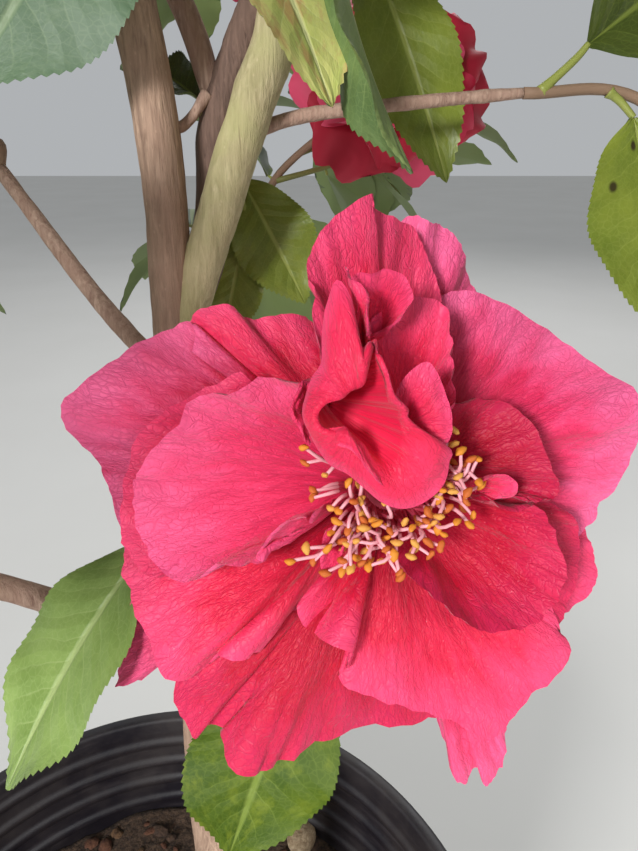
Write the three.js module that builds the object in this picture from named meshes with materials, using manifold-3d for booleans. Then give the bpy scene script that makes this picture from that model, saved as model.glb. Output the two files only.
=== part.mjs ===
// A camellia shrub in a nursery pot, in millimetres, with +Z up. Its origin is the centre of the pot's foot.
// The front is the side that the large bloom faces, which is -Y, and +X is to its right.

import * as THREE from 'three';
import { mergeVertices } from 'three/addons/utils/BufferGeometryUtils.js';
import Module from 'manifold-3d';

const wasm = await Module();
wasm.setup();

// Driving dimensions

const CLEARANCE = 0.3;              // gap left where two pieces meet

const POT_HEIGHT = 243;
const POT_RIM_RADIUS = 130;
const POT_BASE_RADIUS = 95;
const POT_WALL = 2.6;
const POT_COLLAR = 38;              // height of the wider collar that the rim ends
const POT_COLLAR_STEP = 3.4;        // how far the collar stands proud of the wall below it
const POT_LIP_HEIGHT = 6;
const POT_LIP_WIDTH = 6.5;
const POT_FOOT_BEVEL = 3;
const POT_RIBS = 3;                 // rings inside the rim
const POT_RIB_PITCH = 12;
const POT_RIB_DEPTH = 1.8;
const POT_SIDES = 24;
const DRAIN_HOLES = 6;
const DRAIN_RADIUS = 7;
const DRAIN_RING = 0.72;            // the holes' distance from the middle, as a share of the base
const SOIL_LEVEL = 190;
const SOIL_RINGS = [88, 58];        // radii between which the soil's top dips
const SOIL_DIP = 2.2;
const SOIL_WAVES = [{ height: 1.6, pitch: 0.09, shift: 1 }, { height: 1.4, pitch: 0.11, shift: 2 }];
const LEVEL_ROUND_TRUNK = [40, 75]; // the soil is flat within the first distance and free beyond the second

const TRUNK_FOOT = [30, 20, SOIL_LEVEL + CLEARANCE];
const FORK = [18, 80, 458];
const TRUNK_RADIUS = 10.5;
const ROOT_FLARE = 8;               // how far the foot swells beyond the trunk

const CROWN_CENTRE = [20, 60];      // the crown's middle, seen from above
const CROWN_TOP = 898;              // centre of the topmost mass

const BOUGH_RADIUS = 4.2;
const BOUGH_TIP_RADIUS = 2.6;
const BOUGH_ENTRY = 0.42;           // where a bough ends, as a share of the way back from its mass's centre
const BOUGH_ARCH = 0.07;            // how far its middle stands above the straight line, per mm of length

const LEAF_LENGTH = 88;
const LEAF_LENGTH_SPREAD = [0.9, 0.2];
const SECOND_TRY = 0.82;            // size of a leaf where a full one finds no room
const LEAF_WIDTH_RATIO = 0.5;
const LEAF_THICKNESS = 2;
const LEAF_FOLD = 0.13;             // how far the margins stand above the midrib, for each mm of width
const LEAF_WIDEST = 0.48;           // where along the blade it is widest
const LEAF_KEEL = 0.2;              // where along the blade it is thickest
const LEAF_ROOM = 0.8;              // clear space kept round each leaf
const LEAF_DROOP = [0.1, 0.75];     // least fall of a leaf's tip, and how much more it may fall
const LEAF_ROLL = 1.6;              // spread of the leaves' turn about their midribs
const LEAF_FACES_OUT = 0.55;        // how far a leaf's face turns from the sky towards its shoot's tip
const LEAF_ROOT = 0.3;              // how far past its twig's axis a leaf is rooted
const TIP_SPLAY = 12;               // degrees between a shoot and the leaf at its tip
const LEAF_SPLAY = 58;
const TURN_SPREAD = 0.7;

const TWIG_RADIUS = 2.1;
const TWIG_TIP_RADIUS = 1.4;
const STEM_TIP_RADIUS = 1.8;
const STEM_PAST_CENTRE = 0.28;      // how far a mass's stem runs on past its centre, as a share of its reach
const STEM_RISE = 12;
const STEM_LEAD = 12;               // the stem goes straight on from its bough for this length
const SHOOTS_PER_MASS = 6;
const SHOOT_SHARES = [0.22, 0.7];   // where along the stem the shoots begin, and over what share they spread
const SHOOT_REACH = [0.62, 0.24];   // the first shoot's reach, and its loss towards the stem's tip
const SHOOT_SPREAD = [0.85, 0.3];
const SHOOT_TILT = [58, 14];        // degrees from the stem, and their loss towards its tip
const SHOOT_RISE = 0.12;
const NODES_PER_SHOOT = 4;
const STEM_NODES = { first: 0.55, pitch: 0.1, last: 0.97 };
const SHOOT_NODES = { first: 0.42, pitch: 0.2, last: 0.97 };
const LAST_NODE_UNDER_BLOOM = 0.7;
const LEAVES_PER_MASS = 14;
const MASS_REACH = 128;             // furthest a mass reaches from its centre
const SPACE_MARGIN = 0.7;           // each mass stays this far from the plane between it and the next

const BLOOM_RECEPTACLE = [77.1, 10, 450.4];
const BLOOM_FACES_UP = 25;          // degrees that the large bloom looks above the level
const PETAL_THICKNESS = 1.3;
const SMALL_BLOOM_RADIUS = 50;
const SMALL_PETAL_THICKNESS = 3;
const BOSS_SHARE = 0.28;            // size of a small bloom's boss of stamens
const SMALL_BLOOM_WHORLS = [
  { petals: 5, reach: 1, rise: 0.12, width: 1.1 },
  { petals: 3, reach: 0.7, rise: 0.5, width: 0.8 },
];
const WHORL_PITCH = 1.5;

// The crown is open in front of the large bloom, so that it shows from where a viewer stands.
const WINDOW = {
  eye: [62, -112, 520],
  dips: 25,
  halfWidth: 0.53,
  halfHeight: 0.7,
  margin: 4,
  depth: 300,
  elbowRoom: 68,
};

// The crown's masses stand in rings. A direction of 0 degrees is to the right and 90 is to the back.
const RINGS = [
  { level: 'low', height: 500, radius: 165, directions: { right: 4, back: 82, left: 152, front_left: 214 } },
  {
    level: 'waist', height: 612, radius: 200,
    directions: { front_right: 330, right: 30, back: 86, back_left: 146, left: 206 },
  },
  {
    level: 'shoulder', height: 742, radius: 195,
    directions: { front: 270, right: 342, back_right: 54, back_left: 126, left: 198 },
  },
  { level: 'high', height: 858, radius: 108, directions: { front: 310, back: 70, left: 190 } },
];
const MASSES_WITH_BLOOM = ['waist_left', 'waist_front_right', 'waist_back', 'shoulder_front', 'high_back'];

const UP = new THREE.Vector3(0, 0, 1);
const TOWARDS_VIEWER = new THREE.Vector3(0.1, -0.9, 0.4);
const GOLDEN_ANGLE = THREE.MathUtils.degToRad(137.5);

// Small helpers

function vector(point) {
  return point.isVector3 ? point.clone() : new THREE.Vector3(...point);
}

function alongLine(from, to, share) {
  return vector(from).lerp(vector(to), share);
}

// Seeded random numbers, so that the plant grows the same way each time.
function seeded(seed) {
  let state = seed >>> 0;
  return () => {
    state = (state + 0x6D2B79F5) >>> 0;
    let mixed = Math.imul(state ^ (state >>> 15), 1 | state);
    mixed = (mixed + Math.imul(mixed ^ (mixed >>> 7), 61 | mixed)) ^ mixed;
    return ((mixed ^ (mixed >>> 14)) >>> 0) / 4294967296;
  };
}

// A value read between handles [position, value], with no overshoot.
function readBetween(handles, at) {
  let upper = handles.findIndex(([position]) => position >= at);
  if (upper === -1) return handles[handles.length - 1][1];
  upper = Math.max(upper, 1);
  const [from, low] = handles[upper - 1];
  const [to, high] = handles[upper];
  const share = THREE.MathUtils.clamp((at - from) / (to - from), 0, 1);
  return low + (high - low) * share;
}

// Geometry and solids

function geometryFromTriangles(points, triangles) {
  const positions = new Float32Array(points.length * 3);
  points.forEach((point, index) => point.toArray(positions, index * 3));
  const geometry = new THREE.BufferGeometry();
  geometry.setAttribute('position', new THREE.BufferAttribute(positions, 3));
  geometry.setIndex(triangles.flat());
  return geometry;
}

function solidFrom(geometry) {
  const bare = geometry.clone();
  bare.deleteAttribute('normal');
  bare.deleteAttribute('uv');
  const merged = mergeVertices(bare, 1e-4);
  const index = merged.index.array;
  const kept = [];
  for (let i = 0; i < index.length; i += 3) {
    const [a, b, c] = [index[i], index[i + 1], index[i + 2]];
    if (a !== b && b !== c && c !== a) kept.push(a, b, c);
  }
  const build = (corners) => new wasm.Manifold(new wasm.Mesh({
    numProp: 3,
    vertProperties: new Float32Array(merged.attributes.position.array),
    triVerts: new Uint32Array(corners),
  }));
  const solid = build(kept);
  return solid.volume() > 0 ? solid : build(kept.reverse());
}

function geometryFrom(solid) {
  const mesh = solid.getMesh();
  const geometry = new THREE.BufferGeometry();
  geometry.setAttribute('position', new THREE.BufferAttribute(Float32Array.from(mesh.vertProperties), 3));
  geometry.setIndex(Array.from(mesh.triVerts));
  geometry.computeVertexNormals();
  return geometry;
}

function fused(solids) {
  return wasm.Manifold.union(solids);
}

// The largest piece of a cut solid: loose scraps are dropped.
function mainPiece(solid) {
  const pieces = solid.decompose();
  return pieces.reduce((best, piece) => (piece.volume() > best.volume() ? piece : best));
}

function touches(one, other) {
  return one.intersect(other).volume() > 1e-6;
}

function smoothPath(points) {
  return new THREE.CatmullRomCurve3(points.map(vector), false, 'catmullrom', 0.5);
}

// A tapering limb: rings of corners round a smooth path, closed at both ends.
function limb({ path, radius, sides, steps, swell = () => 1, levelFoot = false, extra = 0 }) {
  const curve = smoothPath(path);
  const points = [];
  const triangles = [];
  let side = null;
  for (let step = 0; step <= steps; step += 1) {
    const share = step / steps;
    const along = levelFoot && step === 0 ? UP.clone() : curve.getTangent(share);
    side = side ?? new THREE.Vector3(1, 0.1, 0.05);
    side.addScaledVector(along, -side.dot(along)).normalize();
    const other = new THREE.Vector3().crossVectors(along, side);
    const centre = curve.getPoint(share);
    for (let corner = 0; corner < sides; corner += 1) {
      const turn = 2 * Math.PI * corner / sides;
      const reach = readBetween(radius, share) * swell(share, turn) + extra;
      points.push(centre.clone()
        .addScaledVector(side, Math.cos(turn) * reach)
        .addScaledVector(other, Math.sin(turn) * reach));
    }
  }
  for (let step = 0; step < steps; step += 1) {
    for (let corner = 0; corner < sides; corner += 1) {
      const here = step * sides + corner;
      const next = step * sides + (corner + 1) % sides;
      triangles.push([here, next, next + sides], [here, next + sides, here + sides]);
    }
  }
  const last = steps * sides;
  for (let corner = 1; corner < sides - 1; corner += 1) {
    triangles.push([0, corner + 1, corner], [last, last + corner, last + corner + 1]);
  }
  return solidFrom(geometryFromTriangles(points, triangles));
}

// A thin shell round a grid of points, given as rows. A grid that wraps joins its last column to its first.
function shell(rows, thickness, wraps = false) {
  const columns = rows[0].length;
  const at = (row, column) => {
    const r = THREE.MathUtils.clamp(row, 0, rows.length - 1);
    const c = wraps ? (column + columns) % columns : THREE.MathUtils.clamp(column, 0, columns - 1);
    return rows[r][c];
  };
  const points = [[], []];
  rows.forEach((line, row) => line.forEach((point, column) => {
    const down = at(row + 1, column).clone().sub(at(row - 1, column));
    const across = at(row, column + 1).clone().sub(at(row, column - 1));
    const normal = new THREE.Vector3().crossVectors(down, across).normalize();
    points[0].push(point.clone().addScaledVector(normal, thickness / 2));
    points[1].push(point.clone().addScaledVector(normal, -thickness / 2));
  }));
  const layer = rows.length * columns;
  const index = (row, column) => row * columns + column % columns;
  const triangles = [];
  const quad = (a, b, c, d) => triangles.push([a, b, c], [a, c, d]);
  const columnSteps = wraps ? columns : columns - 1;
  for (let row = 0; row < rows.length - 1; row += 1) {
    for (let column = 0; column < columnSteps; column += 1) {
      const corners = [
        index(row, column), index(row + 1, column), index(row + 1, column + 1), index(row, column + 1),
      ];
      quad(...corners);
      quad(...corners.map((corner) => corner + layer).reverse());
    }
  }
  const edge = (a, b) => quad(b, a, a + layer, b + layer);
  for (let column = 0; column < columnSteps; column += 1) {
    edge(index(0, column + 1), index(0, column));
    edge(index(rows.length - 1, column), index(rows.length - 1, column + 1));
  }
  if (!wraps) {
    for (let row = 0; row < rows.length - 1; row += 1) {
      edge(index(row, 0), index(row + 1, 0));
      edge(index(row + 1, columns - 1), index(row, columns - 1));
    }
  }
  return solidFrom(geometryFromTriangles(points.flat(), triangles));
}

// A leaf blade of eight faces: base, tip, two margins raised above the midrib, and a thick place near its
// base. Its corners can be grown outward, to test for room.
function blade({ base, tip, up, width, thickness = LEAF_THICKNESS, grow = 0 }) {
  const length = base.distanceTo(tip);
  const along = tip.clone().sub(base).divideScalar(length);
  const across = new THREE.Vector3().crossVectors(up, along).normalize();
  const face = new THREE.Vector3().crossVectors(along, across);
  const middle = base.clone()
    .addScaledVector(along, length * LEAF_WIDEST)
    .addScaledVector(face, width * LEAF_FOLD);
  const keel = base.clone().addScaledVector(along, length * LEAF_KEEL);
  const corners = [
    base,
    tip.clone().addScaledVector(along, grow),
    middle.clone().addScaledVector(across, width / 2 + grow),
    middle.clone().addScaledVector(across, -width / 2 - grow),
    keel.clone().addScaledVector(face, thickness / 2 + grow),
    keel.clone().addScaledVector(face, -thickness / 2 - grow),
  ];
  const triangles = [
    [0, 3, 4], [0, 4, 2], [1, 4, 3], [1, 2, 4],
    [0, 5, 3], [0, 2, 5], [1, 3, 5], [1, 5, 2],
  ];
  return { corners, solid: () => solidFrom(geometryFromTriangles(corners, triangles)) };
}

// Pot and soil

const COLLAR_FOOT = POT_HEIGHT - POT_COLLAR;
const WALL_TOP_RADIUS = POT_RIM_RADIUS - 9;

// The wall's outer radius at a height, up to the collar.
function wallRadius(height) {
  return POT_BASE_RADIUS + (WALL_TOP_RADIUS - POT_BASE_RADIUS) * height / COLLAR_FOOT;
}

// The inner radius, which widens more gently inside the collar.
function innerRadius(height) {
  return wallRadius(Math.min(height, COLLAR_FOOT)) - POT_WALL + Math.max(0, height - COLLAR_FOOT) * 0.11;
}

function lathe(profile) {
  const geometry = new THREE.LatheGeometry(profile.map(([r, z]) => new THREE.Vector2(r, z)), POT_SIDES);
  geometry.rotateX(Math.PI / 2);
  return geometry;
}

function potSolid() {
  const lipFoot = POT_HEIGHT - POT_LIP_HEIGHT;
  const ribs = [];
  for (let rib = 0; rib < POT_RIBS; rib += 1) {
    const top = lipFoot - 2 - rib * POT_RIB_PITCH;
    const crest = top - 5;
    ribs.push([innerRadius(top) + 0.4, top], [innerRadius(crest) + 0.4 - POT_RIB_DEPTH, crest]);
  }
  const profile = [
    [0, 0], [POT_BASE_RADIUS - POT_FOOT_BEVEL, 0], [POT_BASE_RADIUS, POT_FOOT_BEVEL],
    [WALL_TOP_RADIUS, COLLAR_FOOT], [WALL_TOP_RADIUS + POT_COLLAR_STEP, COLLAR_FOOT + 2],
    [POT_RIM_RADIUS - 4.5, lipFoot - 2], [POT_RIM_RADIUS, lipFoot],
    [POT_RIM_RADIUS, POT_HEIGHT - 1.5], [POT_RIM_RADIUS - 2, POT_HEIGHT],
    [POT_RIM_RADIUS - POT_LIP_WIDTH, POT_HEIGHT],
    ...ribs,
    [innerRadius(SOIL_LEVEL), SOIL_LEVEL],
    [POT_BASE_RADIUS - POT_WALL, POT_WALL], [0, POT_WALL],
  ];
  let solid = solidFrom(lathe(profile));
  const ring = POT_BASE_RADIUS * DRAIN_RING;
  for (let hole = 0; hole < DRAIN_HOLES; hole += 1) {
    const turn = 2 * Math.PI * (hole + 0.5) / DRAIN_HOLES;
    const drill = new THREE.CylinderGeometry(DRAIN_RADIUS, DRAIN_RADIUS, 4 * POT_WALL, 8);
    drill.rotateX(Math.PI / 2);
    drill.translate(Math.cos(turn) * ring, Math.sin(turn) * ring, 0);
    solid = solid.subtract(solidFrom(drill));
  }
  return solid;
}

// How far the soil's top lies below its level at a place.
function soilDip(x, y) {
  const [alongX, alongY] = SOIL_WAVES;
  const dip = SOIL_DIP + alongX.height * Math.sin(x * alongX.pitch + alongX.shift)
    + alongY.height * Math.sin(y * alongY.pitch + alongY.shift);
  const fromTrunk = Math.hypot(x - TRUNK_FOOT[0], y - TRUNK_FOOT[1]);
  return Math.max(0, dip) * THREE.MathUtils.smoothstep(fromTrunk, ...LEVEL_ROUND_TRUNK);
}

function soilSolid() {
  const side = (height) => wallRadius(height) - POT_WALL - 2 * CLEARANCE;
  const bottom = POT_WALL + CLEARANCE;
  const shoulder = SOIL_LEVEL - 6;
  const geometry = lathe([
    [0, bottom], [side(0), bottom], [side(shoulder), shoulder], [side(SOIL_LEVEL) - 3, SOIL_LEVEL],
    ...SOIL_RINGS.map((radius) => [radius, SOIL_LEVEL]), [0, SOIL_LEVEL],
  ]);
  const place = geometry.attributes.position;
  for (let i = 0; i < place.count; i += 1) {
    const [x, y, z] = [place.getX(i), place.getY(i), place.getZ(i)];
    if (z > SOIL_LEVEL - 1 && Math.hypot(x, y) > 1) place.setZ(i, z - soilDip(x, y));
  }
  return solidFrom(geometry);
}

// Trunk, stems and boughs. Each later limb is cut clear of the earlier ones.

const TRUNK_LIMB = {
  path: [TRUNK_FOOT, [29, 27, 250], [25, 45, 330], [21, 66, 410], FORK],
  radius: [
    [0, TRUNK_RADIUS + ROOT_FLARE], [0.05, TRUNK_RADIUS + 3], [0.14, TRUNK_RADIUS], [0.8, TRUNK_RADIUS - 1],
    [1, TRUNK_RADIUS + 0.6],
  ],
  sides: 10,
  steps: 14,
  swell: (share, turn) => 1 + 0.14 * Math.cos(3 * turn + 0.8) * Math.max(0, 1 - share * 9),
  levelFoot: true,
};

const STEM_LIMBS = {
  left_stem: {
    path: [[16, 80, 444], [18.2, 80, 493], [17.5, 80, 522], [14.9, 80, 549], [4, 82, 640], [-14, 78, 740],
      [-24, 72, 832]],
    radius: [[0, 6.2], [0.5, 5.8], [1, 2.8]],
    sides: 7,
    steps: 10,
  },
  right_stem: {
    path: [[21, 80, 446], [22.6, 80, 469], [34.4, 80, 501], [44.1, 80, 527], [52.1, 80, 549], [64, 76, 630],
      [66, 66, 745], [52, 60, 850]],
    radius: [[0, 6.2], [0.5, 6], [1, 2.6]],
    sides: 7,
    steps: 12,
  },
  middle_stem: {
    path: [[18, 82, 462], [26, 90, 480], [30.5, 92, 500], [32.7, 92, 519], [40, 91, 537], [49, 86, 552],
      [55, 80, 560]],
    radius: [[0, 5], [0.55, 4.4], [1, 6]],
    sides: 6,
    steps: 7,
  },
};

function crownMasses() {
  const masses = [];
  for (const ring of RINGS) {
    for (const [direction, degrees] of Object.entries(ring.directions)) {
      const turn = THREE.MathUtils.degToRad(degrees);
      masses.push({
        name: `${ring.level}_${direction}`,
        level: ring.level,
        centre: new THREE.Vector3(
          CROWN_CENTRE[0] + Math.cos(turn) * ring.radius,
          CROWN_CENTRE[1] + Math.sin(turn) * ring.radius,
          ring.height,
        ),
        seed: masses.length + 11,
      });
    }
  }
  masses.push({
    name: 'top',
    level: 'top',
    centre: new THREE.Vector3(CROWN_CENTRE[0] - 10, CROWN_CENTRE[1], CROWN_TOP),
    seed: masses.length + 11,
  });
  return masses;
}

// Where a limb's axis reaches a height.
function axisAtHeight(limbShape, height) {
  const curve = smoothPath(limbShape.path);
  let share = 0;
  while (share < 1 && curve.getPoint(share).z < height) share += 0.002;
  return curve.getPoint(share);
}

// Side twigs that show beside the large bloom keep the routes that they have there.
const KNOWN_BOUGHS = {
  low_right: {
    path: [[41, 80.5, 518], [58, 86.5, 523], [87.1, 85, 526.1], [118, 86, 528.6]],
    radius: [[0, 2.6], [1, 1.9]],
  },
  low_left: {
    path: [[18, 84, 440], [-12, 101, 467], [-45, 119, 507]],
    radius: [[0, 3.4], [1, 2.4]],
  },
  waist_back_left: {
    path: [[33, 92, 526], [24.6, 93, 551], [8, 98, 577], [-30, 118, 595], [-70, 138, 602]],
    radius: [[0, 3.4], [1, 2.6]],
  },
};

const BOUGH_START = {
  low: { on: 'trunk', height: (order) => [0, 428, 0, 352][order] },
  waist: { height: (order) => 560 + 9 * order },
  shoulder: { height: (order) => 640 + 11 * order },
  high: { height: (order) => 776 + 10 * order },
};

function boughLimb(mass, order) {
  const known = KNOWN_BOUGHS[mass.name];
  if (known) return { sides: 6, steps: 6, ...known };
  const rule = BOUGH_START[mass.level];
  const toTheRight = mass.centre.x > CROWN_CENTRE[0] + 5;
  const leader = rule.on === 'trunk' ? TRUNK_LIMB : STEM_LIMBS[toTheRight ? 'right_stem' : 'left_stem'];
  const start = axisAtHeight(leader, rule.height(order));
  const entry = alongLine(mass.centre, start, BOUGH_ENTRY);
  const middle = alongLine(start, entry, 0.5);
  middle.z += start.distanceTo(entry) * BOUGH_ARCH;
  return {
    path: [start, middle, entry],
    radius: [[0, BOUGH_RADIUS], [1, BOUGH_TIP_RADIUS]],
    sides: 6,
    steps: 4,
  };
}

// Space of each mass: the planes halfway to its neighbours, and its own reach.
function insideSpace(point, mass, masses) {
  if (point.distanceTo(mass.centre) > MASS_REACH) return false;
  return masses.every((other) => {
    if (other === mass) return true;
    const apart = other.centre.distanceTo(mass.centre);
    const lead = point.distanceToSquared(other.centre) - point.distanceToSquared(mass.centre);
    return lead / (2 * apart) >= SPACE_MARGIN;
  });
}

function inWindow(point) {
  const eye = vector(WINDOW.eye);
  const dips = THREE.MathUtils.degToRad(WINDOW.dips);
  const from = point.clone().sub(eye);
  if (from.length() < WINDOW.elbowRoom) return true;
  const ahead = from.y * Math.cos(dips) - from.z * Math.sin(dips);
  const above = from.y * Math.sin(dips) + from.z * Math.cos(dips);
  if (ahead <= 0 || ahead > WINDOW.depth) return false;
  return Math.abs(from.x) < WINDOW.halfWidth * ahead + WINDOW.margin
    && Math.abs(above) < WINDOW.halfHeight * ahead + WINDOW.margin;
}

// A leaf on a shoot at a share of its length, turned round it, with its face outward and to the sky.
function leafOnShoot({ curve, share, turn, length, splay, droop, roll }) {
  const node = curve.getPoint(share);
  const along = curve.getTangent(share);
  const side = new THREE.Vector3().crossVectors(along, UP);
  if (side.lengthSq() < 1e-3) side.set(1, 0, 0);
  side.normalize();
  const other = new THREE.Vector3().crossVectors(side, along);
  const radial = side.clone().multiplyScalar(Math.cos(turn)).addScaledVector(other, Math.sin(turn));
  const heading = along.clone().multiplyScalar(Math.cos(splay)).addScaledVector(radial, Math.sin(splay));
  heading.z -= droop;
  heading.normalize();
  const up = UP.clone().addScaledVector(along, LEAF_FACES_OUT).addScaledVector(radial, roll);
  const base = node.clone().addScaledVector(heading, -LEAF_ROOT);
  const tip = node.clone().addScaledVector(heading, length);
  const width = length * LEAF_WIDTH_RATIO;
  return { base, tip, up, width };
}

// A bloom on a twig: whorls of broad petals round a boss of stamens.
function smallBloom({ centre, axis, radius, seed }) {
  const random = seeded(seed);
  const side = new THREE.Vector3().crossVectors(axis, new THREE.Vector3(0.3, 0.2, 1)).normalize();
  const other = new THREE.Vector3().crossVectors(axis, side);
  const boss = new THREE.OctahedronGeometry(radius * BOSS_SHARE, 0);
  boss.translate(...centre);
  const parts = [solidFrom(boss)];
  SMALL_BLOOM_WHORLS.forEach((whorl, layer) => {
    const base = centre.clone().addScaledVector(axis, layer * WHORL_PITCH - radius * 0.1);
    for (let petal = 0; petal < whorl.petals; petal += 1) {
      const turn = 2 * Math.PI * (petal + 0.5 * layer + 0.25 * random()) / whorl.petals;
      const radial = side.clone().multiplyScalar(Math.cos(turn)).addScaledVector(other, Math.sin(turn));
      const heading = radial.addScaledVector(axis, whorl.rise).normalize();
      const tip = base.clone().addScaledVector(heading, radius * whorl.reach);
      const shape = { base, tip, up: axis, width: radius * whorl.width, thickness: SMALL_PETAL_THICKNESS };
      parts.push(blade(shape).solid());
    }
  });
  return fused(parts);
}

// The bloom at the end of a mass's stem, as large as its room allows.
function bloomAtEnd(centre, outward, free) {
  const axis = outward.clone().addScaledVector(UP, 0.1).normalize();
  const side = new THREE.Vector3().crossVectors(axis, UP).normalize();
  const rim = (radius) => Array.from({ length: 8 }, (_, i) => (
    centre.clone().addScaledVector(side.clone().applyAxisAngle(axis, i * Math.PI / 4), radius)
  ));
  let radius = SMALL_BLOOM_RADIUS;
  while (radius > SMALL_BLOOM_RADIUS / 2 && !free(rim(radius))) radius -= 2;
  return { centre, axis, radius };
}

// A leaf that keeps a known place, on a stalk of its own or at a share of its stem.
const STALK_RADIUS = [[0, 1.9], [1, 1.3]];
const STALK_END = 0.93;

function knownLeaf({ stalk, share = STALK_END, tip, up, width }, stem) {
  const parts = stalk ? [limb({ path: stalk, radius: STALK_RADIUS, sides: 4, steps: 3 })] : [];
  const base = (stalk ? smoothPath(stalk) : stem).getPoint(share);
  parts.push(blade({ base, tip: vector(tip), up, width }).solid());
  return fused(parts);
}

// What shows of some masses beside the large bloom: a place that the stem runs through, the bloom
// that it ends in, and leaves on stalks of their own.
const KNOWN_GROWTH = {
  low_right: {
    via: [150.9, 88.3, 529.5],
    leaves: [
      {
        stalk: [[122.9, 86.3, 528.9], [131.7, 88, 536.7], [135, 88.5, 540.5]],
        tip: [175, 42, 577], up: TOWARDS_VIEWER, width: 40,
      },
      {
        stalk: [[142.5, 88, 528.9], [146, 87.5, 526.5], [149.8, 86, 522.5]],
        tip: [156.7, 60, 469.1], up: TOWARDS_VIEWER, width: 38,
      },
    ],
  },
  low_back: {
    bloom: { centre: new THREE.Vector3(98.8, 215.2, 535.4), axis: TOWARDS_VIEWER, radius: 55 },
  },
};

// The way of one shoot off a mass's stem.
function shootPath(stem, order, seed, random) {
  const share = SHOOT_SHARES[0] + SHOOT_SHARES[1] * (order + 0.5) / SHOOTS_PER_MASS;
  const node = stem.getPoint(share);
  const along = stem.getTangent(share);
  const radial = new THREE.Vector3().crossVectors(along, UP).normalize()
    .applyAxisAngle(along, order * GOLDEN_ANGLE + seed);
  const reach = MASS_REACH * (SHOOT_REACH[0] - SHOOT_REACH[1] * share)
    * (SHOOT_SPREAD[0] + SHOOT_SPREAD[1] * random());
  const tilt = THREE.MathUtils.degToRad(SHOOT_TILT[0] - SHOOT_TILT[1] * share);
  const end = node.clone()
    .addScaledVector(along, Math.cos(tilt) * reach)
    .addScaledVector(radial, Math.sin(tilt) * reach)
    .addScaledVector(UP, SHOOT_RISE * reach);
  return [node, end];
}

// Where leaves may stand: each shoot's tip comes first, then the nodes below it.
function leafPlaces(shoots, random) {
  const places = [];
  for (const { curve, first, pitch, last, tipLeaf } of shoots) {
    if (tipLeaf) places.push({ curve, share: 1, splay: TIP_SPLAY, node: 0, rank: random() });
    for (let node = 0; node < NODES_PER_SHOOT; node += 1) {
      const share = last - node * pitch;
      if (share >= first) {
        places.push({ curve, share, splay: LEAF_SPLAY, node, rank: 1 + node + random() });
      }
    }
  }
  return places.sort((one, next) => one.rank - next.rank);
}

// A leaf at a place, smaller at the second try, or nothing where neither fits.
function leafThatFits({ curve, share, splay, node }, random, fits) {
  const turn = node * GOLDEN_ANGLE + random() * TURN_SPREAD;
  for (const size of [1, SECOND_TRY]) {
    const shape = leafOnShoot({
      curve,
      share,
      turn,
      length: LEAF_LENGTH * size * (LEAF_LENGTH_SPREAD[0] + LEAF_LENGTH_SPREAD[1] * random()),
      splay: THREE.MathUtils.degToRad(splay),
      droop: LEAF_DROOP[0] + LEAF_DROOP[1] * random(),
      roll: LEAF_ROLL * (random() - 0.5),
    });
    if (fits(blade({ ...shape, grow: LEAF_ROOM }))) return blade(shape).solid();
  }
  return null;
}

function growMass({ mass, masses, entry, entryRadius, heading, obstacles }) {
  const random = seeded(mass.seed);
  const known = KNOWN_GROWTH[mass.name] ?? {};
  const free = (corners) => corners.every((corner) => insideSpace(corner, mass, masses) && !inWindow(corner));
  const start = entry.clone().addScaledVector(heading, CLEARANCE);
  const outward = mass.centre.clone().sub(start).normalize();
  const past = mass.centre.clone()
    .addScaledVector(outward, MASS_REACH * STEM_PAST_CENTRE)
    .addScaledVector(UP, STEM_RISE);
  const blooms = MASSES_WITH_BLOOM.includes(mass.name);
  const bloom = known.bloom ?? (blooms ? bloomAtEnd(past, outward, free) : null);

  const via = known.via ?? start.clone().addScaledVector(heading, STEM_LEAD);
  const stemPath = [start, via, mass.centre, bloom?.centre ?? past];
  const stem = smoothPath(stemPath);
  const stemRadius = [[0, entryRadius], [1, STEM_TIP_RADIUS]];
  const wood = [limb({ path: stemPath, radius: stemRadius, sides: 4, steps: 4 })];
  const leaves = (known.leaves ?? []).map((leaf) => knownLeaf(leaf, stem));
  if (bloom) leaves.push(smallBloom({ ...bloom, seed: mass.seed + 100 }));

  const last = bloom ? LAST_NODE_UNDER_BLOOM : STEM_NODES.last;
  const shoots = [{ curve: stem, ...STEM_NODES, last, tipLeaf: !bloom }];
  const touchesLeaves = (solid) => leaves.some((leaf) => touches(solid, leaf));
  for (let order = 0; order < SHOOTS_PER_MASS; order += 1) {
    const path = shootPath(stem, order, mass.seed, random);
    const solid = limb({ path, radius: [[0, TWIG_RADIUS], [1, TWIG_TIP_RADIUS]], sides: 3, steps: 1 });
    const blocked = touches(solid, obstacles) || touchesLeaves(solid);
    if (free([alongLine(...path, 0.5), path[1]]) && !blocked) {
      wood.push(solid);
      shoots.push({ curve: smoothPath(path), ...SHOOT_NODES, tipLeaf: true });
    }
  }

  const fits = (probe) => {
    if (!free(probe.corners)) return false;
    const solid = probe.solid();
    return !touches(solid, obstacles) && !touchesLeaves(solid);
  };
  for (const place of leafPlaces(shoots, random)) {
    if (leaves.length >= LEAVES_PER_MASS) break;
    const leaf = leafThatFits(place, random, fits);
    if (leaf) leaves.push(leaf);
  }
  return mainPiece(fused([...wood, ...leaves]));
}

// The large bloom, in its own frame: +X to the right, +Y up and +Z towards the viewer.
// Each petal's rim is a row of handles: degrees round the bloom, reach and height.

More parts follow.
